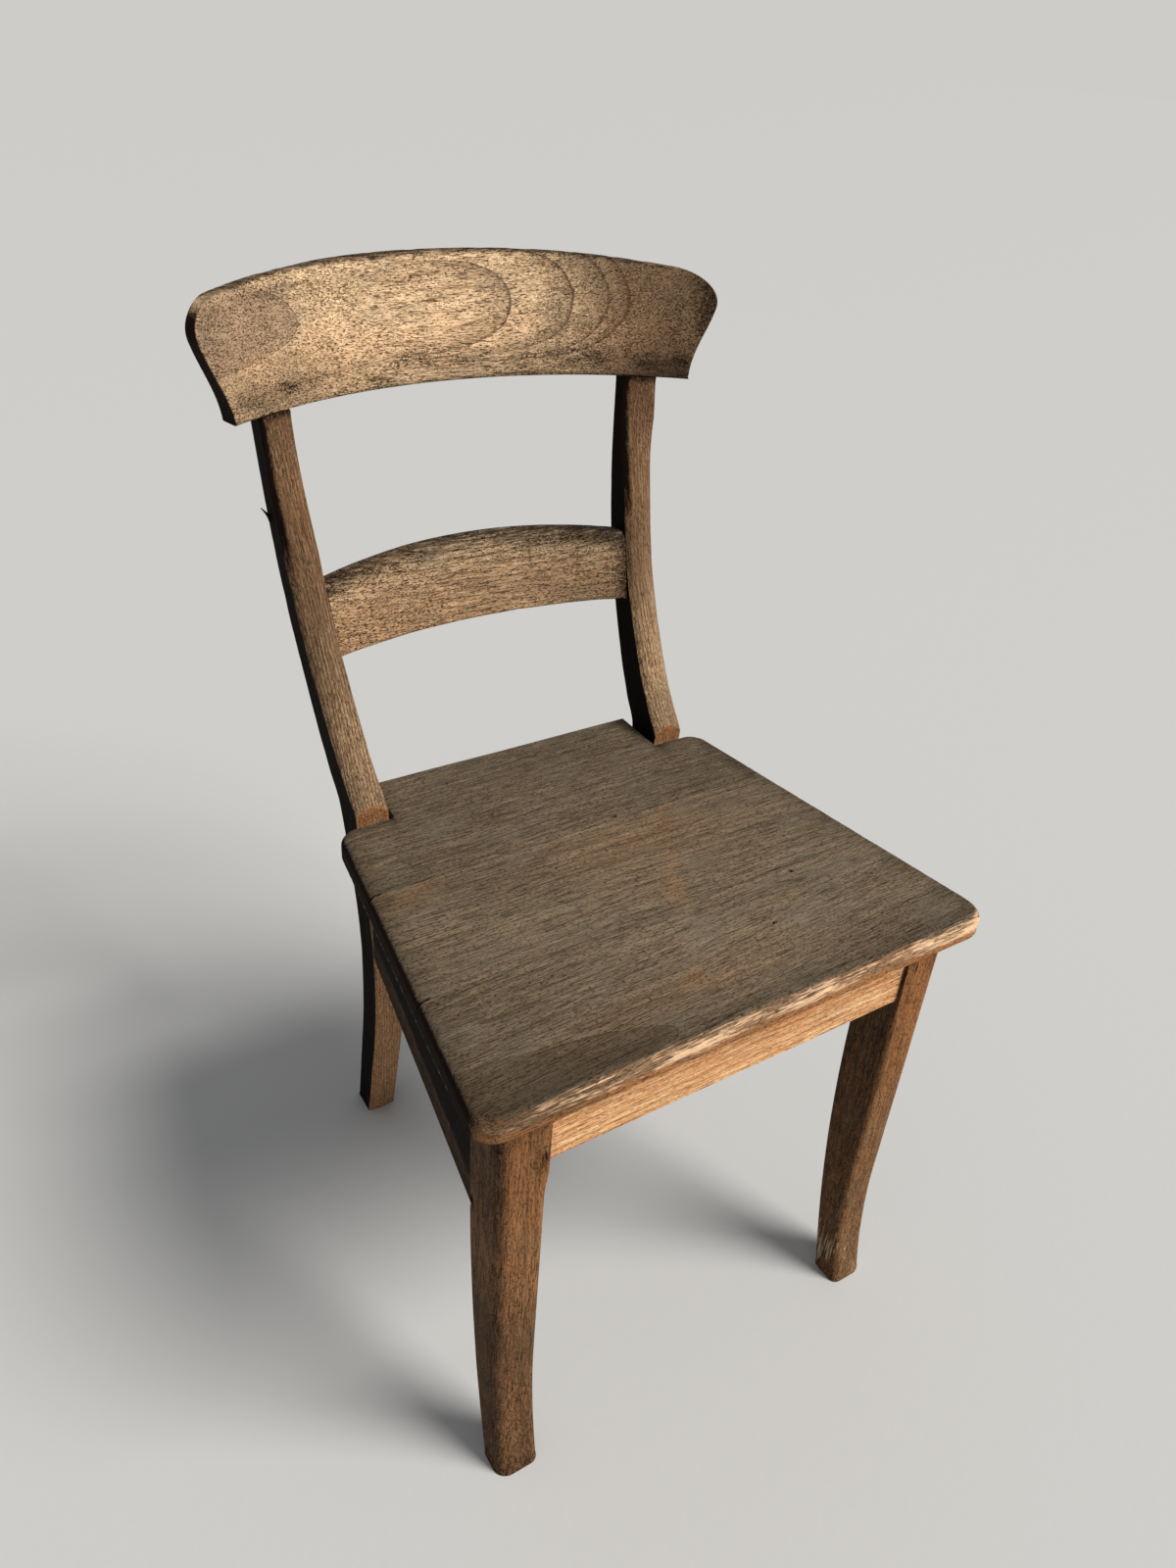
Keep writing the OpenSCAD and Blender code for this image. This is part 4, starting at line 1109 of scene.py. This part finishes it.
def crest_half(h):
    low, wide = CREST_LOW_W / 2, CREST_HIGH_W / 2
    t = np.minimum(1, h / CREST_WIDE_H)
    s = np.maximum(0, h - (CREST_H - CREST_ARCH - SHOULDER_R)) / SHOULDER_R
    shoulder = SHOULDER_R * (1 - np.sqrt(np.maximum(0, 1 - s * s)))
    return low + (wide - low) * (0.35 * t + 0.65 * bunched(t)) - shoulder


def crest_skin(h):
    return CREST_T + (CREST_TOP_T - CREST_T) * h / CREST_H


def crest_top(x):
    return CREST_H - CREST_ARCH * (np.abs(x) / (CREST_HIGH_W / 2)) ** 2.4


def crest_grid(skin, cols, rows):
    radius, front = crest_front()
    u, v = np.meshgrid(np.linspace(-1, 1, cols + 1), np.linspace(0, 1, rows + 1))
    w = bunched(v) * 0.55 + v * 0.45
    h0 = w * (CREST_H - CREST_ARCH)
    half = crest_half(h0)
    bend = np.sin(np.pi / 2 * u) * 0.5 + u * 0.5
    x = bend * half
    h = w * crest_top(x)
    edge = np.minimum(np.minimum(h, crest_top(x) - h), half - np.abs(x) + 0.4)
    pull = edge_pull(edge, RAIL_EDGE_R)
    depth = pull if skin == 0 else crest_skin(h) - pull
    xd = x * (1 + CREST_FLARE * depth / (CREST_LOW_W / 2))
    y = front - radius + np.sqrt((radius + depth) ** 2 - xd * xd) + CREST_SLOPE * h
    return np.stack([xd, y, CREST_Z + h], -1)


def crest_rail():
    gap = sizes().spacing / MM
    cols, rows = int(CREST_MESH_W / gap * 1.15), int(CREST_H / gap * 1.25)
    piece = slab("crest_rail_wood", crest_grid(0, cols, rows), crest_grid(1, cols, rows), wall=8)
    p, n = piece.points, piece.normals
    wear = sizes().rail_wear / MM
    h = p[:, 2] - CREST_Z
    top_gap = crest_top(p[:, 0]) - h
    rim = np.maximum(1 - step(0, 7, np.abs(top_gap)), 1 - step(0, 6, h))
    dents = np.maximum(0, noise(p, (20, 8, 7), 31, 3))
    sway = noise(p, (90, 40, 40), 33, 2)
    piece.push(-0.15 - 0.2 * (1 + sway) * step(0, 10, h) - wear * rim * (0.3 + 1.5 * dents) * (h > 1.5))
    piece.points[:, 2] = np.maximum(piece.points[:, 2], CREST_Z)
    paint_crest(piece, n, h, top_gap)
    piece.finish(back_wood(), "back_wood", "crest_rail")


def paint_crest(piece, n, h, top_gap):
    """Wood coordinates, weather and painted shade of the crest rail."""
    x, y, z = piece.points.T
    p = piece.points
    warp = noise(p, (150, 60, 40), 41, 3)
    fine = noise(p, (50, 18, 18), 43, 2)
    face = n[:, 1] < -0.35
    # long nested arches that point to the right
    centre = 62 + 0.05 * (x - 64) + 1.0 * fine
    reach = np.clip(38 + 0.13 * (x + 40), 36, 62)
    q = np.clip(np.abs(h - centre) / reach, 0, 0.9995)
    along = x - 58 * np.log(1 - q * q) + 2.5 * fine
    turns = np.arange(1, len(ARCH_TIPS))
    stops = np.stack([ARCH_TIPS[1:] - 4.0, ARCH_TIPS[1:]], 1).ravel()
    counts = np.stack([turns - 0.14, turns], 1).ravel()
    field = np.interp(along, np.concatenate([ARCH_TIPS[:1], stops]), np.concatenate([[0], counts]))
    # a darker tongue at the left end
    q = np.clip(np.abs(h - TONGUE_H) / np.where(h > TONGUE_H, 41, 27), 0, 0.985)
    edge = np.where(face, (x + 140) - 50 * np.log(1 - q * q) + 2 * fine, FAR_FROM_TONGUE)
    tone = 0.05 * fine + 0.08 * noise(p, (70, 26, 26), 47, 2)
    tone = tone + 0.66 * hump(x, -40, 125) * hump(h, 58, 32) * face + 0.10
    tone = tone - 0.66 * step(80, 205, x) * face - 0.34 * (1 - step(0, 30, h)) * face
    # painted shade: every face but the front is darker in tone, and the end faces, the back and the underside
    # take the dirt colour below
    tone = tone - 0.12 * hump(x, -190, 50) * face - 0.25 * (~face)
    ends = step(0.5, 0.85, np.abs(n[:, 0]) * (np.abs(x) > 190))
    dirt = strongest(
        0.55 * (1 - step(-1, 7, top_gap + 3 * fine)) + 0.35 * (1 - step(0, 7, h + 4 * fine)),
        ends * (n[:, 1] > -0.85),
        0.25 * (n[:, 1] > 0.3),
        0.42 * hump(h, 14, 13) * (0.5 + np.maximum(0, noise(p, (60, 9, 9), 51, 2))) * face,
        0.5 * step(195, 232, x) * face,
        0.8 * (n[:, 2] < -0.8),
        0.30 * hump(x, -150, 26) * hump(h, 84, 12) * face,
        face * 0.16 * step(40, 110, x) + face * 0.1 * (1 - step(-150, -110, x)))
    warm = 0.12 * hump(x, -150, 60) * hump(h, 20, 30) * face + 0.30 * step(110, 170, x) * face
    warm = np.clip(warm + 0.10 * hump(h, 30, 22) * face, 0, 1)
    piece.paint((x, z + 2.0 * warp, y), field, tone, dirt, 0, warm, edge)


# ---- middle rail ----

MID_RAIL_MESH_W = 300.0  # length that the mesh spacing divides into columns


def mid_rail_grid(skin, cols, rows):
    half = post_inner(MID_RAIL_Z)
    end_y = post_front(MID_RAIL_Z) + 5
    u, v = np.meshgrid(np.linspace(-1, 1, cols + 1), np.linspace(0, 1, rows + 1))
    w = bunched(v) * 0.6 + v * 0.4
    x0 = u * half
    top = MID_RAIL_H - MID_RAIL_ARCH * (np.abs(x0) / half) ** 2
    h = w * top
    z = MID_RAIL_Z + h
    x = u * (post_inner(z) - FIT)
    low, high = edge_pull(h, RAIL_EDGE_R), edge_pull(top - h, MID_RAIL_TOP_R)
    bow = arc_drop(np.minimum(np.abs(x), half), half, MID_RAIL_BOW)
    y = end_y + MID_RAIL_BOW - bow + MID_RAIL_SLOPE * h
    y = y + (np.maximum(low, high) if skin == 0 else MID_RAIL_T - np.maximum(low, high / 2))
    return np.stack([x, y, z], -1)


def mid_rail():
    gap = sizes().spacing / MM
    cols, rows = int(MID_RAIL_MESH_W / gap * 1.1), int(MID_RAIL_H / gap * 1.3)
    piece = slab("middle_rail_wood", mid_rail_grid(0, cols, rows), mid_rail_grid(1, cols, rows), wall=6)
    p, n = piece.points, piece.normals
    half = post_inner(MID_RAIL_Z)
    h = p[:, 2] - MID_RAIL_Z
    top_gap = MID_RAIL_H - MID_RAIL_ARCH * (p[:, 0] / half) ** 2 - h
    held = step(0, 4, post_inner(p[:, 2]) - np.abs(p[:, 0]))
    wear = sizes().rail_wear / MM
    dents = np.maximum(0, noise(p, (20, 8, 7), 61, 3))
    rim = np.maximum(1 - step(0, 9, np.abs(top_gap)), 1 - step(0, 6, h))
    piece.push((-0.12 - 0.15 * (1 + noise(p, (70, 40, 30), 63)) - wear * rim * dents) * held)
    x, y, z = piece.points.T
    warp = noise(piece.points, (150, 60, 40), 65, 3)
    fine = noise(piece.points, (50, 18, 18), 67, 2)
    face = n[:, 1] < -0.35
    # flat arcs under the top edge, as the rail was sawn to its curve
    field = (h - 0.00055 * (x - 40) ** 2 + 5 * warp + 1.2 * fine) / 7.0
    # painted shade: the back and the underside take the dirt colour, and every face but the front is darker
    # in tone
    dirt = strongest(
        0.46 * (1 - step(2, 20, top_gap + 4 * fine + 4 * warp)) + 0.25 * (n[:, 1] > 0.3),
        0.5 * step(120, 150, np.abs(x)) * (x > 0),
        0.14 * face,
        0.8 * (n[:, 2] < -0.8))
    warm = 0.26 * face * (1 - step(30, 56, h)) + 0.10 * face * (1 - step(-110, -40, x))
    tone = 0.08 * noise(p, (60, 20, 20), 69, 2) - 0.06 - 0.26 * step(20, 130, x)
    tone = tone - 0.25 * (~face) - 0.22 * (1 - step(4, 18, top_gap))
    piece.paint((x + 400, z + 2.0 * warp, y), field, tone, dirt, 0, warm)
    piece.finish(back_wood(), "back_wood", "mid_rail")


# ---- aprons ----

SIDE_APRON_CELLS = (120, 56)  # along, up
APRON_CELLS = (170, 32)


def side_face(y):
    """The outer face of the right side apron at a depth."""
    low = UNDER - SIDE_APRON_H
    front_x, front_y = leg_outer(low) - SIDE_REVEAL, leg_rear(UNDER)
    rear_x = post_outer(UNDER - SIDE_APRON_H / 2) - SIDE_REVEAL
    rear_y = post_front(UNDER)
    slope = (rear_x - front_x) / (rear_y - front_y)
    return front_x + slope * (y - front_y), math.hypot(1, slope)


def side_apron(name, node, mirror, seed):
    u, v = np.meshgrid(np.linspace(0, 1, SIDE_APRON_CELLS[0] + 1), np.linspace(0, 1, SIDE_APRON_CELLS[1] + 1))
    low, high = UNDER - SIDE_APRON_H, UNDER - FIT
    z = low + (high - low) * (bunched(v) * 0.4 + v * 0.6)
    start = leg_rear(z) + FIT
    end = post_front(z) - crown(UNDER) - FIT
    y = start + (end - start) * u
    out, spread = side_face(y)
    pull = edge_pull(z - low, 1.5)
    face = np.stack([out - 0.05 - pull, y, z], -1)
    back = np.stack([out - SIDE_APRON_T * spread + pull, y, z], -1)
    piece = slab(name, face, back, wall=4)
    p, n = piece.points, piece.normals
    rough = noise(p, (30, 90, 20), seed, 2)
    free = step(0, 6, p[:, 1] - leg_rear(p[:, 2])) * step(0, 6, UNDER - p[:, 2])
    piece.push(-0.15 * (1 + rough) * free * (n[:, 0] > 0.5))
    x, y, z = piece.points.T
    warp = noise(piece.points, (40, 160, 40), seed + 2, 3)
    fine = noise(piece.points, (20, 60, 14), seed + 3, 2)
    # painted shade: the upper part of the outer face, under the seat's overhang, is darkened with the dirt
    # colour down to a painted lit band about 30 mm high at the bottom edge, which is lighter and warmer; the
    # left apron, on the side away from the light, is darker still and the inner faces less dark; a faint pale
    # line runs along the band's top
    lit_band = 1 - step(26, 36, z - low + 1.5 * fine)
    tone = 0.12 * fine + 0.10 * lit_band - (0.3 if mirror else 0.15)
    dirt = (0.9 if mirror else 0.42) * (1 - 0.45 * lit_band) - 0.25 * (n[:, 0] < 0) + 0.2 * fine
    bare = 0.12 * hump(z, low + 31, 1.5)
    field = (z + 8 * warp + 1.5 * fine) / 8.0
    piece.paint((y, z + 2 * warp + seed * 31, x), field, tone, np.clip(dirt, 0, 1), bare, 0.15 * lit_band)
    piece.finish(apron_wood(), "apron_wood", node, mirror=mirror)


def front_apron():
    u, v = np.meshgrid(np.linspace(-1, 1, APRON_CELLS[0] + 1), np.linspace(0, 1, APRON_CELLS[1] + 1))
    z = APRON_Z + (APRON_H - FIT) * (bunched(v) * 0.5 + v * 0.5)
    x = u * (leg_inner(z) - FIT)
    pull = edge_pull(z - APRON_Z, 1.2)
    y = LEG_SETBACK + APRON_REVEAL + pull
    face = np.stack([x, y, z], -1)
    back = np.stack([x, LEG_SETBACK + APRON_REVEAL + APRON_T - pull, z], -1)
    piece = slab("front_apron_wood", face, back, wall=4)
    p, n = piece.points, piece.normals
    free = step(0, 5, leg_inner(p[:, 2]) - np.abs(p[:, 0])) * step(0, 5, UNDER - p[:, 2])
    piece.push(-0.12 * (1 + noise(p, (60, 20, 20), 81, 2)) * free)
    x, y, z = piece.points.T
    warp = noise(piece.points, (170, 40, 40), 83, 3)
    fine = noise(piece.points, (60, 14, 14), 85, 2)
    # painted shade: a little darker just under the seat's nosing, and darker on the back face and the
    # underside
    tone = 0.14 + 0.05 * fine - 0.05 * (1 - step(4, 14, UNDER - z)) - 0.2 * (n[:, 1] > 0.5)
    dirt = 0.28 * (1 - step(0, 5, leg_inner(z) - np.abs(x))) + 0.18 * hump(z, APRON_Z + 1, 2)
    dirt = dirt + 0.35 * (n[:, 1] > 0.5) + 0.25 * (n[:, 2] < -0.7)
    warm = 0.30 * hump(z, APRON_Z + 34, 10) * (0.5 + fine)
    field = (z - 0.012 * x + 7 * warp + 1.5 * fine) / 6.5
    piece.paint((x, z + 1.5 * warp, y), field, tone, dirt, 0, warm)
    piece.finish(fresh_wood(), "front_apron_wood", "front_apron")


def fresh_wood():
    return finish_once(
        "worn_shaded_fresh_wood", "front_apron", ring=(140, 78, 42), warm=(222, 138, 80),
        grey=(220, 172, 124), bare=(250, 222, 184), dirt=(60, 34, 18), rings=0.7, pores=0.8, specks=0.2,
        patches=0.2)


def apron_wood():
    return finish_once(
        "worn_shaded_apron_wood", "side_apron", ring=(40, 26, 14), warm=(120, 80, 44),
        grey=(84, 68, 50), bare=(150, 124, 90), dirt=(24, 15, 8), rings=0.5, pores=0.5, specks=0.4,
        patches=0.4)


def rear_apron_wood():
    return finish_once(
        "rear_apron_wood", "rear_apron", ring=(44, 28, 16), warm=(120, 80, 44),
        grey=(86, 70, 52), bare=(150, 124, 90), dirt=(24, 15, 8), painted=False)


def block_wood():
    return finish_once(
        "block_wood", "block", ring=(74, 48, 28), warm=(150, 100, 56),
        grey=(120, 100, 76), bare=(190, 160, 120), dirt=(40, 26, 14), painted=False, specks=0.6)


SPLINTER_Z = 686.0
SPLINTER_DIRT = 1.2


def splinter():
    """A sliver that lifts from the outer rear edge of the left post."""
    share = np.linspace(0, 1, 9)
    height = SPLINTER_Z - 6 + 11 * share
    lift = 6.5 * share ** 1.4
    wide = 1.9 * (1 - share) + 0.45
    x = post_outer(height) - 0.6 + lift
    y = post_rear(height) - 9
    angle = np.linspace(0, 2 * np.pi, 9)[:-1]
    rings = np.stack([x[:, None] + wide[:, None] * np.cos(angle), y[:, None] + wide[:, None] * np.sin(angle),
                      np.broadcast_to(height[:, None], (9, 8))], -1)
    piece = stack("post_splinter", rings)
    x, y, z = piece.points.T
    piece.paint((z, x, y), 0, 0, SPLINTER_DIRT, 0, 0)
    piece.finish(post_wood(), "back_wood", mirror=True)


# ---- operators ----


class CHAIR_OT_seat(bpy.types.Operator):
    """Builds the three seat boards"""

    bl_idname = "chair.seat"
    bl_label = "Seat boards"

    def execute(self, context):
        seat_board("seat_front_wood", "seat_board_front", 0.0, FRONT_JOINT - FIT / 2, 3)
        seat_board("seat_middle_wood", "seat_board_middle", FRONT_JOINT, REAR_JOINT - FIT / 2, 4)
        seat_board("seat_rear_wood", "seat_board_rear", REAR_JOINT, SEAT_D + SEAT_TONGUE_D, 5)
        return {"FINISHED"}


class CHAIR_OT_legs(bpy.types.Operator):
    """Builds the two front legs"""

    bl_idname = "chair.legs"
    bl_label = "Front legs"

    def execute(self, context):
        front_leg("front_leg_left_wood", "front_leg_left", True, 11)
        front_leg("front_leg_right_wood", "front_leg_right", False, 12)
        return {"FINISHED"}


class CHAIR_OT_posts(bpy.types.Operator):
    """Builds the two back posts and a splinter on the left one"""

    bl_idname = "chair.posts"
    bl_label = "Back posts"

    def execute(self, context):
        back_post("back_post_left_wood", "back_post_left", True, 21)
        back_post("back_post_right_wood", "back_post_right", False, 22)
        splinter()
        return {"FINISHED"}


class CHAIR_OT_rails(bpy.types.Operator):
    """Builds the crest rail and the middle rail"""

    bl_idname = "chair.rails"
    bl_label = "Back rails"

    def execute(self, context):
        crest_rail()
        mid_rail()
        return {"FINISHED"}


class CHAIR_OT_aprons(bpy.types.Operator):
    """Builds the front and side aprons and finishes the rear apron"""

    bl_idname = "chair.aprons"
    bl_label = "Aprons"

    def execute(self, context):
        front_apron()
        side_apron("side_apron_left_wood", "side_apron_left", True, 71)
        side_apron("side_apron_right_wood", "side_apron_right", False, 72)
        dress("back_apron", rear_apron_wood())
        return {"FINISHED"}


def dress(node, material):
    """Gives a CAD node its finish."""
    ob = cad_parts[node]
    if not ob.material_slots:
        raise RuntimeError(f"{node} has no material slot")
    for held in ob.material_slots:
        held.material = material


class CHAIR_OT_fittings(bpy.types.Operator):
    """Finishes the corner blocks, screws and pins"""

    bl_idname = "chair.fittings"
    bl_label = "Blocks and fasteners"

    def execute(self, context):
        block = block_wood()
        for end in ("front", "rear"):
            for side in ("left", "right"):
                dress(f"corner_block_{end}_{side}", block)
        iron = rusted_iron()
        for node in ("corner_block_screws", "seat_screws", "front_apron_pins"):
            dress(node, iron)
        return {"FINISHED"}


def rusted_iron():
    """Dull steel with rust."""
    g = Graph(bpy.data.materials.new("rusted_iron"))
    own = g.own_place()
    broad = g.noise(own, 420.0, 3.0)
    fine = g.noise(own, 1800.0, 3.0)
    rust = (broad + fine * 0.4).rise(0.55, 0.85)
    colour = g.mix(rust, linear(84, 80, 76), linear(92, 52, 30))
    return g.surface(colour, 0.45 + rust * 0.4, fine * 0.6 + rust * 0.4, depth=0.0001,
                     metallic=1 - rust)


class CHAIR_OT_stage(bpy.types.Operator):
    """Builds the floor, the lamps and the camera"""

    bl_idname = "chair.stage"
    bl_label = "Studio"

    def execute(self, context):
        scene = context.scene
        setup = scene.chair_studio
        build_floor(setup)
        build_light(scene, setup)
        build_camera(scene, setup)
        scene.view_settings.view_transform = "Standard"
        return {"FINISHED"}


FLOOR_REACH = 30.0  # metres from the middle to each edge
BACKDROP_STRENGTH = 0.99  # of the plain colour that the camera sees behind the floor
SKY_COLOUR = (0.93, 0.96, 1.0, 1)
KEY_COLOUR = (1.0, 0.985, 0.96)
KEY_AIM = (-0.52, 0.62, -0.90)
KEY_SOFTNESS = 28  # degrees across
CAMERA_PLACE = (-466.7, -440.0, 1045.5)  # x, depth behind the seat's front edge, height
CAMERA_YAW = 34.12
CAMERA_PITCH = 33.31
CAMERA_ROLL = 4.28
SENSOR_WIDTH = 36  # millimetres


def build_floor(setup):
    bm = bmesh.new()
    bmesh.ops.create_grid(bm, x_segments=8, y_segments=8, size=FLOOR_REACH)
    mesh = bpy.data.meshes.new("floor")
    bm.to_mesh(mesh)
    bm.free()
    g = Graph(bpy.data.materials.new("floor_paint"))
    own = g.own_place()
    fine = g.noise(own, 90.0, 4.0)
    mesh.materials.append(g.surface((*setup.floor_colour, 1), 0.85, fine, depth=0.0002))
    floor = bpy.data.objects.new("floor", mesh)
    bpy.context.scene.collection.objects.link(floor)


def build_light(scene, setup):
    scene.world = bpy.data.worlds.new("studio")
    g = Graph(scene.world)
    to_camera = g.node("ShaderNodeLightPath", out="Is Camera Ray")
    seen = g.node("ShaderNodeBackground", {},
                  {"Color": (*setup.floor_colour, 1), "Strength": BACKDROP_STRENGTH})
    lit = g.node("ShaderNodeBackground", {}, {"Color": SKY_COLOUR, "Strength": setup.sky_strength})
    both = g.node("ShaderNodeMixShader", {}, {0: to_camera, 1: lit, 2: seen})
    g.node("ShaderNodeOutputWorld", {}, {"Surface": both})
    lamp = bpy.data.lights.new("key", "SUN")
    lamp.energy = setup.key_strength
    lamp.angle = math.radians(KEY_SOFTNESS)
    lamp.color = KEY_COLOUR
    key = bpy.data.objects.new("key", lamp)
    key.rotation_mode = "QUATERNION"
    key.rotation_quaternion = Vector(KEY_AIM).to_track_quat("-Z", "Y")
    scene.collection.objects.link(key)


def build_camera(scene, setup):
    yaw, pitch, roll = (math.radians(a) for a in (CAMERA_YAW, CAMERA_PITCH, CAMERA_ROLL))
    ahead = Vector((math.sin(yaw) * math.cos(pitch), math.cos(yaw) * math.cos(pitch), -math.sin(pitch)))
    right = Vector((math.cos(yaw), -math.sin(yaw), 0))
    up = right.cross(ahead)
    turned_right = math.cos(roll) * right + math.sin(roll) * up
    turned_up = -math.sin(roll) * right + math.cos(roll) * up
    data = bpy.data.cameras.new("camera")
    data.lens = setup.lens
    data.sensor_width = SENSOR_WIDTH
    data.clip_start, data.clip_end = 0.01, 200
    camera = bpy.data.objects.new("camera", data)
    x, depth, height = CAMERA_PLACE
    matrix = Matrix((turned_right, turned_up, -ahead)).transposed().to_4x4()
    matrix.translation = Vector((x, depth + Y_SHIFT, height)) * MM
    camera.matrix_world = matrix
    scene.collection.objects.link(camera)
    scene.camera = camera


class CHAIR_PT_panel(bpy.types.Panel):
    """Lists the steps that build the chair"""

    bl_idname = "CHAIR_PT_panel"
    bl_label = "Dining chair"
    bl_space_type = "VIEW_3D"
    bl_region_type = "UI"
    bl_category = "Chair"

    def draw(self, context):
        for setting in SETTINGS:
            group = getattr(context.scene, setting)
            for key in group.bl_rna.properties.keys():
                if key not in ("rna_type", "name"):
                    self.layout.prop(group, key)
        for step_class in STEPS:
            self.layout.operator(step_class.bl_idname)


STEPS = (CHAIR_OT_stage, CHAIR_OT_seat, CHAIR_OT_legs, CHAIR_OT_posts, CHAIR_OT_rails, CHAIR_OT_aprons,
         CHAIR_OT_fittings)
SETTINGS = {"chair_sizes": ChairSizes, "chair_colours": ChairColours, "chair_studio": ChairStudio}
CLASSES = (*SETTINGS.values(), *STEPS, CHAIR_PT_panel)


def register():
    for cls in CLASSES:
        bpy.utils.register_class(cls)
    for setting, group in SETTINGS.items():
        setattr(bpy.types.Scene, setting, PointerProperty(type=group))


def unregister():
    for setting in SETTINGS:
        delattr(bpy.types.Scene, setting)
    for cls in reversed(CLASSES):
        bpy.utils.unregister_class(cls)


def main():
    register()
    bpy.ops.chair.stage()
    bpy.ops.chair.seat()
    bpy.ops.chair.legs()
    bpy.ops.chair.posts()
    bpy.ops.chair.rails()
    bpy.ops.chair.aprons()
    bpy.ops.chair.fittings()


if __name__ == "__main__":
    main()
